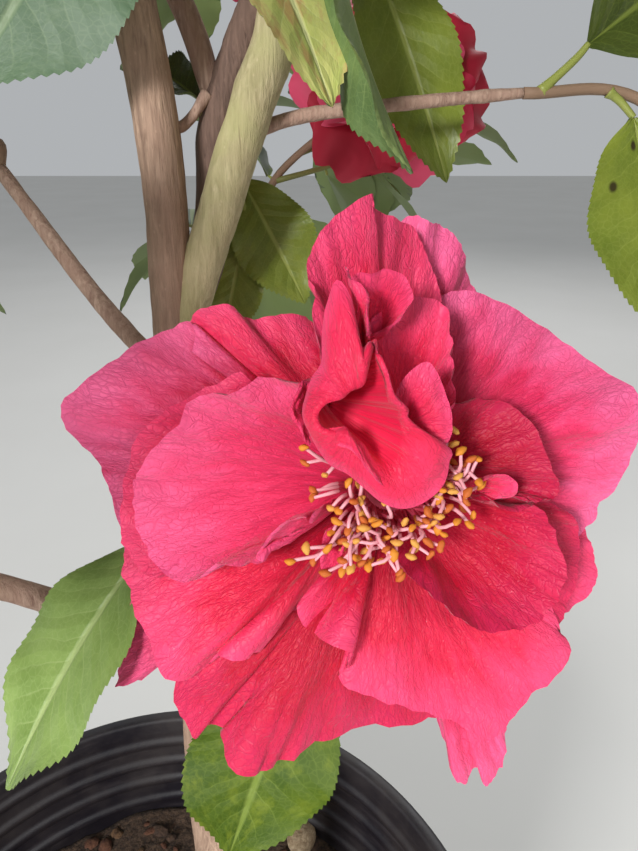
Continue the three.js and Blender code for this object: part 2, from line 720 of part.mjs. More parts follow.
const PETALS = {
  back_tip: {
    claw: -6, lift: 1.4,
    rim: [[-80, 48, -3], [-77, 70, -4], [-72, 73, -4], [-66, 66, -3], [-57, 53, -2]],
  },
  back_right: { claw: -7, lift: 1.4, rim: [[-10, 44, -6], [-24, 53, -6], [-34, 53, -6], [-44, 46, -6]] },
  back_lower_left: {
    claw: -8, lift: 1.4,
    rim: [[-164, 58, -6], [-152, 67, -8], [-142, 78, -8], [-132, 67, -8], [-124, 50, -6]],
  },
  outer_upper_left: {
    claw: -4, lift: 1.2, rim: [[152, 48, 0], [140, 54, 0], [131, 46, -1], [118, 41, 0], [108, 30, 0]],
  },
  outer_top: { claw: -4, lift: 1.3, rim: [[94, 46, 4], [85, 55, 8], [78, 55, 6], [68, 48, 3], [52, 36, 0]] },
  outer_left: {
    claw: -3, lift: 1.3, rim: [[142, 52, 3], [157, 65, 2], [169, 73, 0], [184, 60, 3], [204, 56, 4]],
  },
  outer_right: {
    claw: -2, lift: 1.3,
    rim: [[74, 40, 6], [44, 47, 2], [24, 52, 2], [12, 56, 2], [-8, 48, 1], [-28, 38, 0]],
  },
  bottom: {
    claw: -2, lift: 1.3, rim: [[-143, 43, 4], [-130, 67, 7], [-118, 68, 4], [-102, 56, 3], [-76, 45, 1]],
  },
  lower_left: {
    claw: 0, lift: 1.5, rim: [[-176, 50, 8], [-160, 59, 9], [-138, 59, 9], [-133, 47, 13], [-136, 30, 10]],
  },
  under_left: {
    claw: 0, lift: 1.5, rim: [[144, 38, 12], [166, 50, 12], [186, 56, 11], [201, 53, 11], [205, 44, 11]],
  },
  lower_right: {
    claw: 1, lift: 1.5,
    rim: [[-128, 25, 14], [-104, 38, 12], [-80, 49, 10], [-66, 55, 10], [-48, 51, 8], [-36, 38, 8]],
  },
  under_right: { claw: 1, lift: 1.5, rim: [[-58, 38, 8], [-37, 46, 8], [-20, 42, 9], [-6, 30, 10]] },
  inner_lower_right: {
    claw: 2, lift: 1.5, rim: [[-88, 17, 14], [-63, 32, 15], [-40, 40, 14], [-20, 37, 14], [-8, 22, 15]],
  },
  inner_left: {
    claw: 2, lift: 1.5,
    rim: [[131, 28, 22], [150, 43, 18], [172, 51, 15], [192, 50, 15], [207, 36, 18], [208, 20, 22]],
  },
  inner_right: {
    claw: 3, lift: 1.4, rim: [[62, 22, 18], [37, 26, 16], [18, 30, 16], [-2, 31, 15], [-9, 18, 16]],
  },
  inner_top_right: { claw: 3, lift: 1.3, rim: [[104, 26, 20], [92, 35, 22], [76, 34, 20], [60, 20, 20]] },
  inner_top: {
    claw: 4, lift: 1.3, rim: [[124, 27, 20], [114, 44, 24], [98, 54, 24], [88, 52, 16], [78, 40, 10]],
  },
  petaloid_lobe: { claw: 6, lift: 0.7, rim: [[110, 27, 27], [103, 31, 28], [96, 31, 28], [91, 22, 27]] },
};
const PETAL_ROWS = [0.14, 0.6, 1];  // shares of the way from the claw to the rim
const PETAL_BELLY = 3;
const CLAW_RING = 5;                // radius of the ring that the petals' claws stand on
const CALYX_DEPTH = 14;             // how far the calyx reaches behind the claws

function petalSolid({ rim, claw, lift }) {
  const middle = THREE.MathUtils.degToRad(rim.reduce((sum, handle) => sum + handle[0], 0) / rim.length);
  const foot = new THREE.Vector3(CLAW_RING * Math.cos(middle), CLAW_RING * Math.sin(middle), claw);
  const rows = PETAL_ROWS.map((share) => rim.map(([degrees, reach, height]) => {
    const turn = THREE.MathUtils.degToRad(degrees);
    return new THREE.Vector3(
      foot.x + (reach * Math.cos(turn) - foot.x) * share,
      foot.y + (reach * Math.sin(turn) - foot.y) * share,
      foot.z + (height - foot.z) * share ** lift + PETAL_BELLY * Math.sin(Math.PI * share),
    );
  }));
  return shell(rows, PETAL_THICKNESS);
}

// The twisted petaloids at the middle open as one trumpet: degrees round its throat, then
// the reach and height of its mouth and of its flared margin.
const TRUMPET_THROAT = [-11.5, 12.8, 8];
const TRUMPET = [
  [0, 9.8, 32, 18.9, 27], [32, 10.2, 33, 18.2, 30], [45, 11.2, 34, 12.4, 34], [65, 13, 35, 14, 35],
  [76, 4.4, 33, 15, 33], [90, 3.6, 32, 22.5, 34], [103, 3.8, 32, 14, 32], [148, 4.6, 31, 7.6, 30],
  [200, 3.8, 30, 6.6, 27], [250, 3.4, 30, 9, 25], [282, 4.4, 29, 12.5, 24], [306, 9, 28, 19, 23],
  [324, 10.5, 28, 21, 24], [343, 10.3, 30, 20, 26],
];

function trumpetSolid() {
  const [x, y, z] = TRUMPET_THROAT;
  const ringAt = (reachOf, heightOf) => TRUMPET.map((handle) => {
    const turn = THREE.MathUtils.degToRad(handle[0]);
    return new THREE.Vector3(
      x + Math.cos(turn) * reachOf(handle), y + Math.sin(turn) * reachOf(handle), heightOf(handle),
    );
  });
  const rows = [
    ringAt(() => 0, () => z),
    ringAt((handle) => handle[1] * 0.7, (handle) => z + (handle[2] - z) * 0.5),
    ringAt((handle) => handle[1], (handle) => handle[2]),
    ringAt((handle) => handle[3], (handle) => handle[4]),
  ];
  return shell(rows, PETAL_THICKNESS, true);
}

// Calyx, receptacle and the boss of stamens, which hold the petals' claws.
function bloomCore() {
  const profile = [
    [0, -CALYX_DEPTH], [2.7, -CALYX_DEPTH], [9, -9], [11.5, -2], [10, 6], [8, 14], [0, 14],
  ];
  const geometry = new THREE.LatheGeometry(profile.map(([r, z]) => new THREE.Vector2(r, z)), 10);
  geometry.rotateX(Math.PI / 2);
  return solidFrom(geometry);
}

function mainBloomSolid() {
  return mainPiece(fused([bloomCore(), ...Object.values(PETALS).map(petalSolid), trumpetSolid()]));
}

function bloomFrame() {
  const rises = THREE.MathUtils.degToRad(BLOOM_FACES_UP);
  const x = new THREE.Vector3(1, 0, 0);
  const y = new THREE.Vector3(0, Math.sin(rises), Math.cos(rises));
  const z = new THREE.Vector3(0, -Math.cos(rises), Math.sin(rises));
  return new THREE.Matrix4().makeBasis(x, y, z).setPosition(vector(BLOOM_RECEPTACLE));
}

// A point behind the large bloom, on its axis.
function behindBloom(distance) {
  return new THREE.Vector3(0, 0, -distance).applyMatrix4(bloomFrame());
}

// Sprays beside the large bloom, whose leaves keep known places.
const KNOWN_SPRAYS = {
  bloom_spray: {
    stem: [
      [20.5, 70, 424], [44, 60, 426], [66, 45, 433], behindBloom(CALYX_DEPTH + 12),
      behindBloom(CALYX_DEPTH + CLEARANCE),
    ],
    radius: [[0, 3.4], [1, 2.5]],
    leaves: [
      {
        stalk: [[46, 59, 426.5], [33, 36, 431], [20.2, 19.2, 427.6]],
        tip: [-12.2, -12.2, 379.1], up: UP, width: 36,
      },
      {
        stalk: [[66, 45, 433], [61, 27, 417], [57.1, 14.1, 400.1]],
        tip: [35.7, 2.5, 327.8], up: TOWARDS_VIEWER, width: 40,
      },
    ],
  },
  top_spray: {
    stem: [[11, 80.5, 578], [26, 74, 582], [46, 71, 576], [66, 69, 566]],
    radius: [[0, 2.6], [1, 1.6]],
    leaves: [
      { share: 0.5, tip: [65.8, 55.7, 524.8], up: UP, width: 37 },
      { share: 0.96, tip: [82.9, 48.8, 509.9], up: UP, width: 34 },
      { share: 0.16, tip: [-11.7, 59, 531.8], up: UP, width: 38 },
    ],
  },
  back_spray: {
    stem: [[46, 85, 529], [58, 99, 545], [68, 112, 562], [76, 117, 573]],
    radius: [[0, 2.4], [1, 1.6]],
    leaves: [{ share: 0.95, tip: [102.1, 100, 504.7], up: TOWARDS_VIEWER, width: 33 }],
  },
  hanging_spray: {
    stem: [[30.5, 94, 497], [33.5, 104, 504], [37, 112, 505]],
    radius: [[0, 2.2], [1, 1.5]],
    leaves: [
      { share: 0.95, tip: [57.5, 102, 466], up: TOWARDS_VIEWER, width: 27 },
      {
        stalk: [[33.5, 104, 504], [36.5, 107, 500], [38, 107.5, 492]],
        tip: [28.5, 103, 452], up: TOWARDS_VIEWER, width: 20,
      },
    ],
  },
};

function spraySolid({ stem, radius, leaves }) {
  const curve = smoothPath(stem);
  return fused([
    limb({ path: stem, radius, sides: 5, steps: 5 }),
    ...leaves.map((leaf) => knownLeaf(leaf, curve)),
  ]);
}

// Assembly

const BARK = { color: 0x8f7460, roughness: 0.85, metalness: 0 };
const COLOURS = {
  pot: { color: 0x2c272e, roughness: 0.45, metalness: 0 },
  soil: { color: 0x2f2620, roughness: 1, metalness: 0 },
  foliage: { color: 0x55702e, roughness: 0.45, metalness: 0 },
  bloom: { color: 0xe92e58, roughness: 0.6, metalness: 0 },
};

const shrub = new THREE.Group();

function addNode(name, solid, look, place = null) {
  const mesh = new THREE.Mesh(geometryFrom(solid), new THREE.MeshStandardMaterial(look));
  mesh.name = name;
  if (place) mesh.applyMatrix4(place);
  shrub.add(mesh);
}

addNode('pot', potSolid(), COLOURS.pot);
addNode('soil', soilSolid(), COLOURS.soil);

const masses = crownMasses();
const limbShapes = { trunk: TRUNK_LIMB, ...STEM_LIMBS };
const orderInLevel = {};
for (const mass of masses) {
  if (mass.level !== 'top') {
    const order = orderInLevel[mass.level] ?? 0;
    orderInLevel[mass.level] = order + 1;
    limbShapes[`bough_${mass.name}`] = boughLimb(mass, order);
  }
}

const limbs = {};
let taken = null;
for (const [name, shape] of Object.entries(limbShapes)) {
  const whole = limb(shape);
  limbs[name] = taken ? mainPiece(whole.subtract(taken)) : whole;
  const kept = limb({ ...shape, extra: CLEARANCE });
  taken = taken ? taken.add(kept) : kept;
  addNode(name, limbs[name], BARK);
}

const place = bloomFrame();
const bloom = mainBloomSolid();
addNode('main_bloom', bloom, COLOURS.bloom, place);
const obstacles = [...Object.values(limbs), bloom.transform(place.elements)];
for (const [name, spray] of Object.entries(KNOWN_SPRAYS)) {
  const solid = mainPiece(spraySolid(spray).subtract(taken));
  obstacles.push(solid);
  addNode(name, solid, COLOURS.foliage);
}

const inTheWay = fused(obstacles);
for (const mass of masses) {
  const shape = mass.level === 'top' ? STEM_LIMBS.left_stem : limbShapes[`bough_${mass.name}`];
  const curve = smoothPath(shape.path);
  const foliage = growMass({
    mass,
    masses,
    entry: curve.getPoint(1),
    entryRadius: readBetween(shape.radius, 1),
    heading: curve.getTangent(1),
    obstacles: inTheWay,
  });
  addNode(`foliage_${mass.name}`, foliage, COLOURS.foliage);
}

export default shrub;
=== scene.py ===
"""A camellia shrub in a nursery pot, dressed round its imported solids.

The plan is in millimetres, as the solids' own source has it, and meshes are made in metres.
"""

from functools import cache
from math import cos, pi, radians, sin, sqrt
from types import SimpleNamespace

import bpy
import numpy as np
from mathutils import Matrix, Vector, noise


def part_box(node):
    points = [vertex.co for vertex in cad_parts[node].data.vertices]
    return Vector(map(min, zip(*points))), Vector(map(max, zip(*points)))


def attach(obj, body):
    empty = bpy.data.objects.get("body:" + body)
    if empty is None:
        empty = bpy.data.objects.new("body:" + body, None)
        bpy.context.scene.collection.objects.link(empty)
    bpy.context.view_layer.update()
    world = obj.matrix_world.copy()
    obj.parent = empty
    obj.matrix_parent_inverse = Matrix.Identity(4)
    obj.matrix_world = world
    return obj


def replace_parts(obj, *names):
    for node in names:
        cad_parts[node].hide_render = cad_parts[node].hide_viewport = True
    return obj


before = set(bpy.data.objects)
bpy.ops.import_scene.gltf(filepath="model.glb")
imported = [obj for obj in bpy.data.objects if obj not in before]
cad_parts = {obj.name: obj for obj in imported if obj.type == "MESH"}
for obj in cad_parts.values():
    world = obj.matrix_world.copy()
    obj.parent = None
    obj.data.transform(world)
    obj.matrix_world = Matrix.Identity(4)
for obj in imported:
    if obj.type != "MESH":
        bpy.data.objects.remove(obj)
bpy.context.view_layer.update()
MM = 0.001

# Camera, as the photograph was taken
PHOTO_HEIGHT = 851
FOCAL_PIXELS = 639
SENSOR = 36
EYE = (62, -112, 520)
DIPS = 25

# Pot and soil
POT_HEIGHT = 243
POT_RIM_RADIUS = 130
POT_BASE_RADIUS = 95
POT_WALL = 2.6
COLLAR_FOOT = POT_HEIGHT - 38
WALL_TOP_RADIUS = POT_RIM_RADIUS - 9
COLLAR_STEP = 3.4
POT_RIB_PITCH = 12
DRAIN_HOLES = 6
DRAIN_RADIUS = 7
DRAIN_RING = 0.72
POT_SIDES = 128
SOIL_LEVEL = 190
TRUNK_FOOT = (30, 20, 190.3)

# Crown
CROWN_CENTRE = (20, 60)
CROWN_TOP = 898
MASS_REACH = 128
SPACE_MARGIN = 0.7
CLEARANCE = 0.3
REACH_MARGIN = 7
BOUGH_ENTRY = 0.42
BOUGH_ARCH = 0.07
SHOOTS_PER_MASS = 6
GOLDEN_ANGLE = radians(137.5)
ANY_TURN = 6.28
UP = np.array([0.0, 0.0, 1.0])
TOWARDS_VIEWER = np.array([0.1, -0.9, 0.4])
WINDOW_DEPTH = 300
VIEW_WIDTH = 0.53
VIEW_HEIGHT = 0.7
ELBOW_ROOM = 68

# The large bloom
RECEPTACLE = (77.1, 10, 450.4)
BLOOM_FACES_UP = 25
CLAW_RING = 5


# Small helpers


def unit(v):
    return v / np.linalg.norm(v, axis=-1, keepdims=True)


def square_to(axis, towards):
    """Two unit vectors at right angles to an axis and to each other."""
    side = unit(np.cross(axis, towards))
    return side, np.cross(axis, side)


def rotate(v, axis, turn):
    return v * cos(turn) + np.cross(axis, v) * sin(turn) + axis * axis.dot(v) * (1 - cos(turn))


def polar(reach, turn, rise):
    """The place at a reach and a turn round the upright axis, and a rise; grids of them too."""
    return np.stack(np.broadcast_arrays(reach * np.cos(turn), reach * np.sin(turn), rise), -1)


def spans(rows, columns):
    """Two grids of shares from a pair of ranges, the first down the rows and the second across them."""
    return np.meshgrid(rows, columns, indexing="ij")


def seeded(seed):
    """The source's random numbers, so that the plant grows on from the same shoots."""
    state = seed & 0xFFFFFFFF

    def draw():
        nonlocal state
        state = (state + 0x6D2B79F5) & 0xFFFFFFFF
        mixed = ((state ^ (state >> 15)) * (1 | state)) & 0xFFFFFFFF
        mixed = ((mixed + (((mixed ^ (mixed >> 7)) * (61 | mixed)) & 0xFFFFFFFF)) & 0xFFFFFFFF) ^ mixed
        return (mixed ^ (mixed >> 14)) / 4294967296

    return draw


def through(positions, values, at):
    """A smooth curve through values, read at other positions."""
    x, y = np.asarray(positions, float), np.asarray(values, float)
    slopes = np.gradient(y, x)
    i = np.clip(np.searchsorted(x, at) - 1, 0, len(x) - 2)
    h = x[i + 1] - x[i]
    t = (np.clip(at, x[0], x[-1]) - x[i]) / h
    start = (2 * t**3 - 3 * t**2 + 1) * y[i] + (t**3 - 2 * t**2 + t) * h * slopes[i]
    return start + (3 * t**2 - 2 * t**3) * y[i + 1] + (t**3 - t**2) * h * slopes[i + 1]


def smoothstep(low, high, x):
    t = np.clip((x - low) / (high - low), 0, 1)
    return t * t * (3 - 2 * t)


def rough(x, y, z):
    """Smooth noise from -1 to 1 at arrays of places."""
    places = np.stack(np.broadcast_arrays(x, y, z), -1)
    flat = [noise.noise(Vector(p)) for p in places.reshape(-1, 3)]
    return np.array(flat).reshape(places.shape[:-1])


class Path:
    """A smooth line through points, read by its share of the way."""

    def __init__(self, points):
        p = np.array([tuple(point) for point in points], float)
        self.knots = np.vstack([2 * p[0] - p[1], p, 2 * p[-1] - p[-2]])

    def at(self, share):
        t = np.clip(np.atleast_1d(share), 0, 1) * (len(self.knots) - 3)
        i = np.minimum(t.astype(int), len(self.knots) - 4)
        w = (t - i)[:, None]
        a, b, c, d = (self.knots[i + k] for k in range(4))
        point = b + 0.5 * w * (c - a) + w**2 * (a - 2.5 * b + 2 * c - 0.5 * d)
        point = point + w**3 * 0.5 * (3 * (b - c) + d - a)
        return point[0] if np.isscalar(share) else point

    def along(self, share):
        ahead, behind = np.minimum(share + 1e-4, 1), np.maximum(share - 1e-4, 0)
        return unit(self.at(ahead) - self.at(behind))


def grid_quads(index, wraps=False):
    """The faces between rows and columns of point numbers."""
    if wraps:
        index = np.concatenate([index, index[:, :1]], 1)
    quads = np.stack([index[:-1, :-1], index[:-1, 1:], index[1:, 1:], index[1:, :-1]], -1)
    return quads.reshape(-1, 4).tolist()


def grid_normals(points):
    across, down = np.gradient(points, axis=1), np.gradient(points, axis=0)
    return unit(np.cross(across, down) + 1e-12)


def inside_out(faces):
    return [face[::-1] for face in faces]


def tube_faces(rows, columns):
    """The faces of a closed tube of rings: its sides and its two ends."""
    index = np.arange(rows * columns).reshape(rows, columns)
    return grid_quads(index, wraps=True) + [index[0][::-1].tolist(), index[-1].tolist()]


@cache
def blade_faces(rows, columns):
    """The upper and lower faces of a thin sheet."""
    top = np.arange(rows * columns).reshape(rows, columns)
    return grid_quads(top), inside_out(grid_quads(top + rows * columns))


def lathe(profile, sides):
    """Rings round the upright axis, at each radius and height of a profile."""
    radii, heights = np.array(profile, float).T[..., None]
    return polar(radii, np.arange(sides) * 2 * np.pi / sides, heights)


def placed(name, data):
    """A new object in the scene."""
    made = bpy.data.objects.new(name, data)
    bpy.context.scene.collection.objects.link(made)
    return made


class Bundle:
    """Meshes joined as they are made: points, faces and each face's look."""

    def __init__(self):
        self.points, self.faces, self.looks, self.count = [], [], [], 0

    def add(self, points, faces, look=0):
        self.points.append(np.asarray(points, float).reshape(-1, 3))
        for face in faces:
            self.faces.append([corner + self.count for corner in face])
        self.looks.extend([look] * len(faces) if isinstance(look, int) else look)
        self.count += len(self.points[-1])

    def tube(self, rings, look=0):
        self.add(rings, tube_faces(*rings.shape[:2]), look)

    def sheet(self, points, thickness, look=0, under=None, place=np.asarray):
        """Adds a thin sheet, whose lower points meet its upper ones at the margin."""
        top, bottom = blade_faces(*points.shape[:2])
        inside = np.zeros(points.shape[:2] + (1,))
        inside[1:-1, 1:-1] = thickness
        lower = points - grid_normals(points) * inside
        upper_looks = [look] * len(top) if isinstance(look, int) else look
        lower_looks = [look if under is None else under] * len(bottom)
        both = np.concatenate([points.reshape(-1, 3), lower.reshape(-1, 3)])
        self.add(place(both), top + bottom, upper_looks + lower_looks)

    def piece(self, name, materials, slot, plan=None):
        mesh = bpy.data.meshes.new(name)
        mesh.from_pydata(np.concatenate(self.points) * MM, [], self.faces)
        mesh.polygons.foreach_set("material_index", self.looks)
        mesh.shade_smooth()
        mesh.update()
        for material in materials:
            mesh.materials.append(material)
        if plan is not None:
            plan = np.concatenate([plan.reshape(-1, 3)] * 2)
            mesh.attributes.new("plan", "FLOAT_VECTOR", "POINT").data.foreach_set("vector", plan.ravel())
        piece = placed(name, mesh)
        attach(piece, "root")
        return piece


# Materials


def linear(*colour):
    """A colour given as a screen shows it, 0 to 255, as light."""
    shares = [c / 255 for c in colour]
    return tuple(c / 12.92 if c <= 0.04045 else ((c + 0.055) / 1.055) ** 2.4 for c in shares) + (1,)


class Signal:
    """What one of a material's nodes gives, which sums and products carry on to further nodes."""

    def __init__(self, look, socket):
        self.look, self.socket = look, socket

    def __add__(self, other):
        return self.look.math("ADD", self, other)

    def __sub__(self, other):
        return self.look.math("SUBTRACT", self, other)

    def __mul__(self, other):
        return self.look.math("MULTIPLY", self, other)

    def __truediv__(self, other):
        return self.look.math("DIVIDE", self, other)


class Look:
    """A material and the nodes that feed its shader. A scale may be one number, or one for each axis."""

    def __init__(self, name, colour, **values):
        self.material = bpy.data.materials.new(name)
        self.material.use_nodes = True
        self.tree = self.material.node_tree
        self.shader = self.tree.nodes["Principled BSDF"]
        named = {key.replace("_", " "): value for key, value in values.items()}
        self.set(self.shader, {"Base Color": linear(*colour), "Roughness": 0.5, **named})

    def set(self, node, values):
        for key, value in values.items():
            if isinstance(value, Signal):
                self.tree.links.new(value.socket, node.inputs[key])
            else:
                node.inputs[key].default_value = value
        return node

    def node(self, kind, output, values, **settings):
        made = self.tree.nodes.new("ShaderNode" + kind)
        for key, value in settings.items():
            setattr(made, key, value)
        return Signal(self, self.set(made, values).outputs[output])

    def math(self, operation, *values):
        return self.node("Math", 0, dict(enumerate(values)), operation=operation)

    def place(self):
        return self.node("TexCoord", "Object", {})

    def plan(self):
        """Places on the flat pattern of a petal or leaf."""
        return self.node("Attribute", "Vector", {}, attribute_name="plan")

    def part(self, vector, axis):
        return self.node("SeparateXYZ", axis, {"Vector": vector})

    def scaled(self, place, scale):
        return self.node("Mapping", "Vector", {"Vector": place, "Scale": scale})

    def noise(self, place, scale, detail=3, roughness=0.5, distortion=0):
        if isinstance(scale, tuple):
            place, scale = self.scaled(place, scale), 1
        values = {"Vector": place, "Scale": scale, "Detail": detail, "Roughness": roughness}
        return self.node("TexNoise", "Fac", {**values, "Distortion": distortion})

    def cells(self, place, scale, feature="F1"):
        values = {"Vector": self.scaled(place, scale), "Scale": 1}
        return self.node("TexVoronoi", "Distance", values, feature=feature)

    def net(self, place, scale, width):
        """A net of lines between cells, from 1 on a line to 0 at its width away."""
        return self.ramp(self.cells(place, scale, "DISTANCE_TO_EDGE"), (0, 1), (width, 0))

    def ramp(self, value, *stops):
        """Colours (given as a screen shows them) or shares at places from 0 to 1."""
        made = self.node("ValToRGB", "Color", {"Fac": value})
        elements = made.socket.node.color_ramp.elements
        while len(elements) < len(stops):
            elements.new(0.5)
        for element, (position, colour) in zip(elements, stops):
            element.position = position
            element.color = linear(*colour) if isinstance(colour, tuple) else (colour, colour, colour, 1)
        return made

    def mix(self, share, one, other):
        """One colour, with another over it by a share."""
        one, other = (c if isinstance(c, Signal) else linear(*c) for c in (one, other))
        return self.node("Mix", 2, {0: share, 6: one, 7: other}, data_type="RGBA")

    def tint(self, base, colour, value, *stops):
        """A base with a colour over it, where a value's ramp says."""
        return self.mix(self.ramp(value, *stops), base, colour)

    def finish(self, colour, height=None, strength=1.0, distance=1.0, roughness=None):
        """The material, once it has its colour and the relief of its skin, a distance in millimetres high."""
        feeds = {"Base Color": colour}
        if roughness:
            feeds["Roughness"] = roughness
        if height:
            bump = {"Height": height, "Strength": strength, "Distance": distance * MM}
            feeds["Normal"] = self.node("Bump", "Normal", bump)
        self.set(self.shader, feeds)
        return self.material


def plain(name, colour, roughness=0.5, **values):
    return Look(name, colour, Roughness=roughness, **values).material


def plain_set(name, roughness, colours, **values):
    return [plain(f"{name}_{tone}", colour, roughness, **values) for tone, colour in colours.items()]


def petal_look(name, margin, rim_tint, heart=0.36):
    """A soft petal: deep at its claw, as far out as its heart, partly its own colour and partly painted shade
    of the bloom's middle, and pinker at its margin, with a fine net of veins. Its plan holds the millimetres
    along and across it, and the share of the way to its margin."""
    look = Look(name, margin, Sheen_Weight=0.12, Sheen_Roughness=0.35, Specular_IOR_Level=0.32)
    plan = look.plan()
    drift = look.noise(plan, (0.1, 0.16, 0)) - 0.5
    shift = look.node("CombineXYZ", "Vector", {"Y": drift * 7})
    warped = look.node("VectorMath", "Vector", {0: plan, 1: shift})
    share = look.part(plan, "X") / PETAL_PLAN_LENGTH + drift * 0.45
    middle = (margin[0] - 12, margin[1] * 0.6, margin[2] * 0.74)
    # The dark stops at the claw are partly the petal's own deeper colour and partly painted shade; a smaller
    # heart paints less of it.
    base = look.ramp(share, (0, (150, 0, 26)), (heart, (188, 6, 42)), (heart * 2, middle), (1, margin))
    rim = look.ramp(look.part(plan, "Z") + drift * 0.5, (0.66, 0), (1, 1))
    base = look.mix(rim * 0.75, base, rim_tint)
    fine_veins = look.net(warped, (0.5, 1.4, 0), 0.12) * 0.7
    vein = look.math("MAXIMUM", look.net(warped, (0.24, 0.72, 0), 0.07), fine_veins)
    shown = look.ramp(look.noise(plan, (0.05, 0.05, 0), 2), (0.36, 0.14), (0.64, 0.42))
    shown = shown * look.ramp(rim, (0, 0.65), (1, 1))
    base = look.mix(vein * shown, base, (160, 8, 76))
    base = look.tint(base, (255, 190, 200), look.cells(plan, (0.28, 0.28, 0)), (0, 0.6), (0.05, 0))
    wrinkle = look.noise(warped, (0.1, 0.34, 0), 4)
    grain = look.noise(plan, (1.6, 2, 0))
    return look.finish(base, wrinkle + grain * 0.12 - vein * 0.1, 0.75, 1.2)


def leaf_look(name, light, dark, rib, blemish=None, gloss=0.42, spots=()):
    """A leathery leaf with a pale midrib, side veins and quilted skin between them. Its plan holds the share
    along the blade, the share of the half width across it, and a number of its own."""
    look = Look(name, light, Roughness=gloss, Specular_IOR_Level=0.5)
    plan = look.plan()
    across = look.math("ABSOLUTE", look.part(plan, "Y"))
    bend = look.noise(plan, (5, 1.4, 1), 2) - 0.5
    run = look.part(plan, "X") * 9 - look.math("POWER", across, 0.8) * 1.7 + bend * 0.9
    wave = look.math("ABSOLUTE", look.math("FRACT", run) - 0.5)
    side_vein = look.ramp(wave, (0, 1), (0.05, 0)) * look.ramp(across, (0, 1), (0.85, 0.15), (1, 0))
    midrib = look.ramp(across, (0.03, 1), (0.075, 0))
    base = look.tint(light, dark, look.noise(plan, (4, 1.6, 1), 4), (0.3, 0), (0.72, 1))
    base = look.mix(look.net(plan, (34, 10, 1), 0.1) * 0.22, base, rib)
    if blemish:
        base = look.tint(base, blemish, look.noise(plan, (7, 2.6, 1), 5, 0.65), (0.5, 0), (0.66, 0.8))
    base = look.mix(side_vein * 0.55, base, rib)
    base = look.mix(midrib, base, rib)
    for along, aside in spots:
        ends = {0: look.scaled(plan, (3, 1, 0)), 1: (along * 3, aside, 0)}
        away = look.node("VectorMath", "Value", ends, operation="DISTANCE")
        base = look.tint(base, (52, 38, 22), away, (0.05, 0.95), (0.1, 0))
    quilt = wave * 1.2 + look.noise(plan, (26, 8, 1)) * 0.5
    return look.finish(base, quilt - midrib * 0.6, 0.5, 0.8)


def bark_look(name, light, mid, dark, moss=None):
    """Bark with fine fissures along the limb, pale lenticels and lichen patches."""
    look = Look(name, mid, Roughness=0.82)
    place = look.place()
    streak = look.noise(place, (700, 700, 90), 6, 0.65, 0.6)
    fissure = look.noise(place, (1500, 1500, 130), 3, 0.6)
    base = look.tint(dark, light, streak, (0.3, 0), (0.7, 1))
    base = look.tint(base, mid, look.noise(place, 60, 4, 0.6), (0.35, 0), (0.65, 0.7))
    if moss:
        base = look.tint(base, moss, look.noise(place, 34, 5, 0.6), (0.42, 0), (0.6, 0.75))
    base = look.tint(base, dark, fissure, (0.62, 0), (0.74, 0.55))
    base = look.tint(base, light, look.cells(place, (420, 420, 260)), (0.06, 0.4), (0.15, 0))
    return look.finish(base, streak - fissure * 0.7, 0.7, 0.7)


def pot_look():
    look = Look("pot_plastic", (30, 27, 33), Roughness=0.42, Specular_IOR_Level=0.45)
    place = look.place()
    dust = look.noise(place, 26, 5, 0.62)
    scuff = look.noise(place, (30, 30, 260), 4, 0.6)
    base = look.tint((27, 24, 30), (74, 66, 62), dust, (0.42, 0), (0.75, 0.5))
    base = look.tint(base, (96, 90, 92), scuff, (0.55, 0), (0.8, 0.25))
    roughness = look.ramp(dust, (0.3, 0.34), (0.7, 0.62))
    return look.finish(base, scuff + look.noise(place, 700, 2), 0.12, 0.4, roughness)


def soil_look(name, dark, light):
    look = Look(name, dark, Roughness=0.95)
    place = look.place()
    base = look.tint(dark, light, look.noise(place, 420, 6, 0.7), (0.38, 0), (0.68, 1))
    return look.finish(base, look.noise(place, 260, 8, 0.72), 0.9, 3)


def floor_look():
    look = Look("floor", (206, 205, 201), Roughness=0.8)
    return look.finish(look.mix(look.noise(look.place(), 3, 4), (200, 199, 195), (211, 210, 207)))


PETAL_PLAN_LENGTH = 62
# Lit and shaded copies of the petal colour: mid is the petal's own colour, light, bright and open are painted
# light, and deep and dark are painted shade.
PETAL_LIT_AND_SHADED_TONES = {
    tone: petal_look(f"petal_{tone}", *colours)
    for tone, colours in {
        "light": ((250, 88, 142), (252, 112, 164)),
        "bright": ((246, 76, 124), (250, 98, 148)),
        "open": ((252, 84, 134), (254, 102, 152), 0.2),
        "mid": ((238, 52, 96), (244, 76, 124)),
        "deep": ((206, 26, 68), (214, 44, 90)),
        "dark": ((186, 14, 54), (196, 28, 72)),
    }.items()
}
PETAL_PLAIN = plain_set("crown_petal", 0.6, {
    "deep": (196, 22, 58), "mid": (226, 40, 84), "light": (240, 78, 118)}, Sheen_Weight=0.2)
FILAMENT_FOOT = plain("filament_foot", (206, 70, 96))
STAMEN_LOOKS = [
    plain("filament", (236, 164, 174), 0.45),
    FILAMENT_FOOT,
    *plain_set("anther", 0.7, {"gold": (216, 136, 36), "orange": (194, 98, 32), "pale": (218, 156, 70)}),
]
LEAF_TONES = [(62, 84, 34), (76, 98, 40), (52, 74, 36), (96, 114, 46), (84, 104, 58)]
CROWN_LEAF_LOOKS = [
    *plain_set("crown_leaf", 0.36, dict(enumerate(LEAF_TONES))),
    plain("crown_leaf_rib", (140, 156, 92), 0.4),
    plain("crown_leaf_under", (122, 140, 82), 0.6),
]
RIB_LOOK = len(LEAF_TONES)
UNDER_LOOK = RIB_LOOK + 1
TWIG_OLD = plain("twig_brown", (146, 118, 96), 0.75)
TWIG_YOUNG = plain("twig_green", (122, 122, 66), 0.6)
BUD_SCALE = plain("bud_scale", (128, 138, 78))
BUD_TIP = plain("bud_tip", (206, 48, 82))
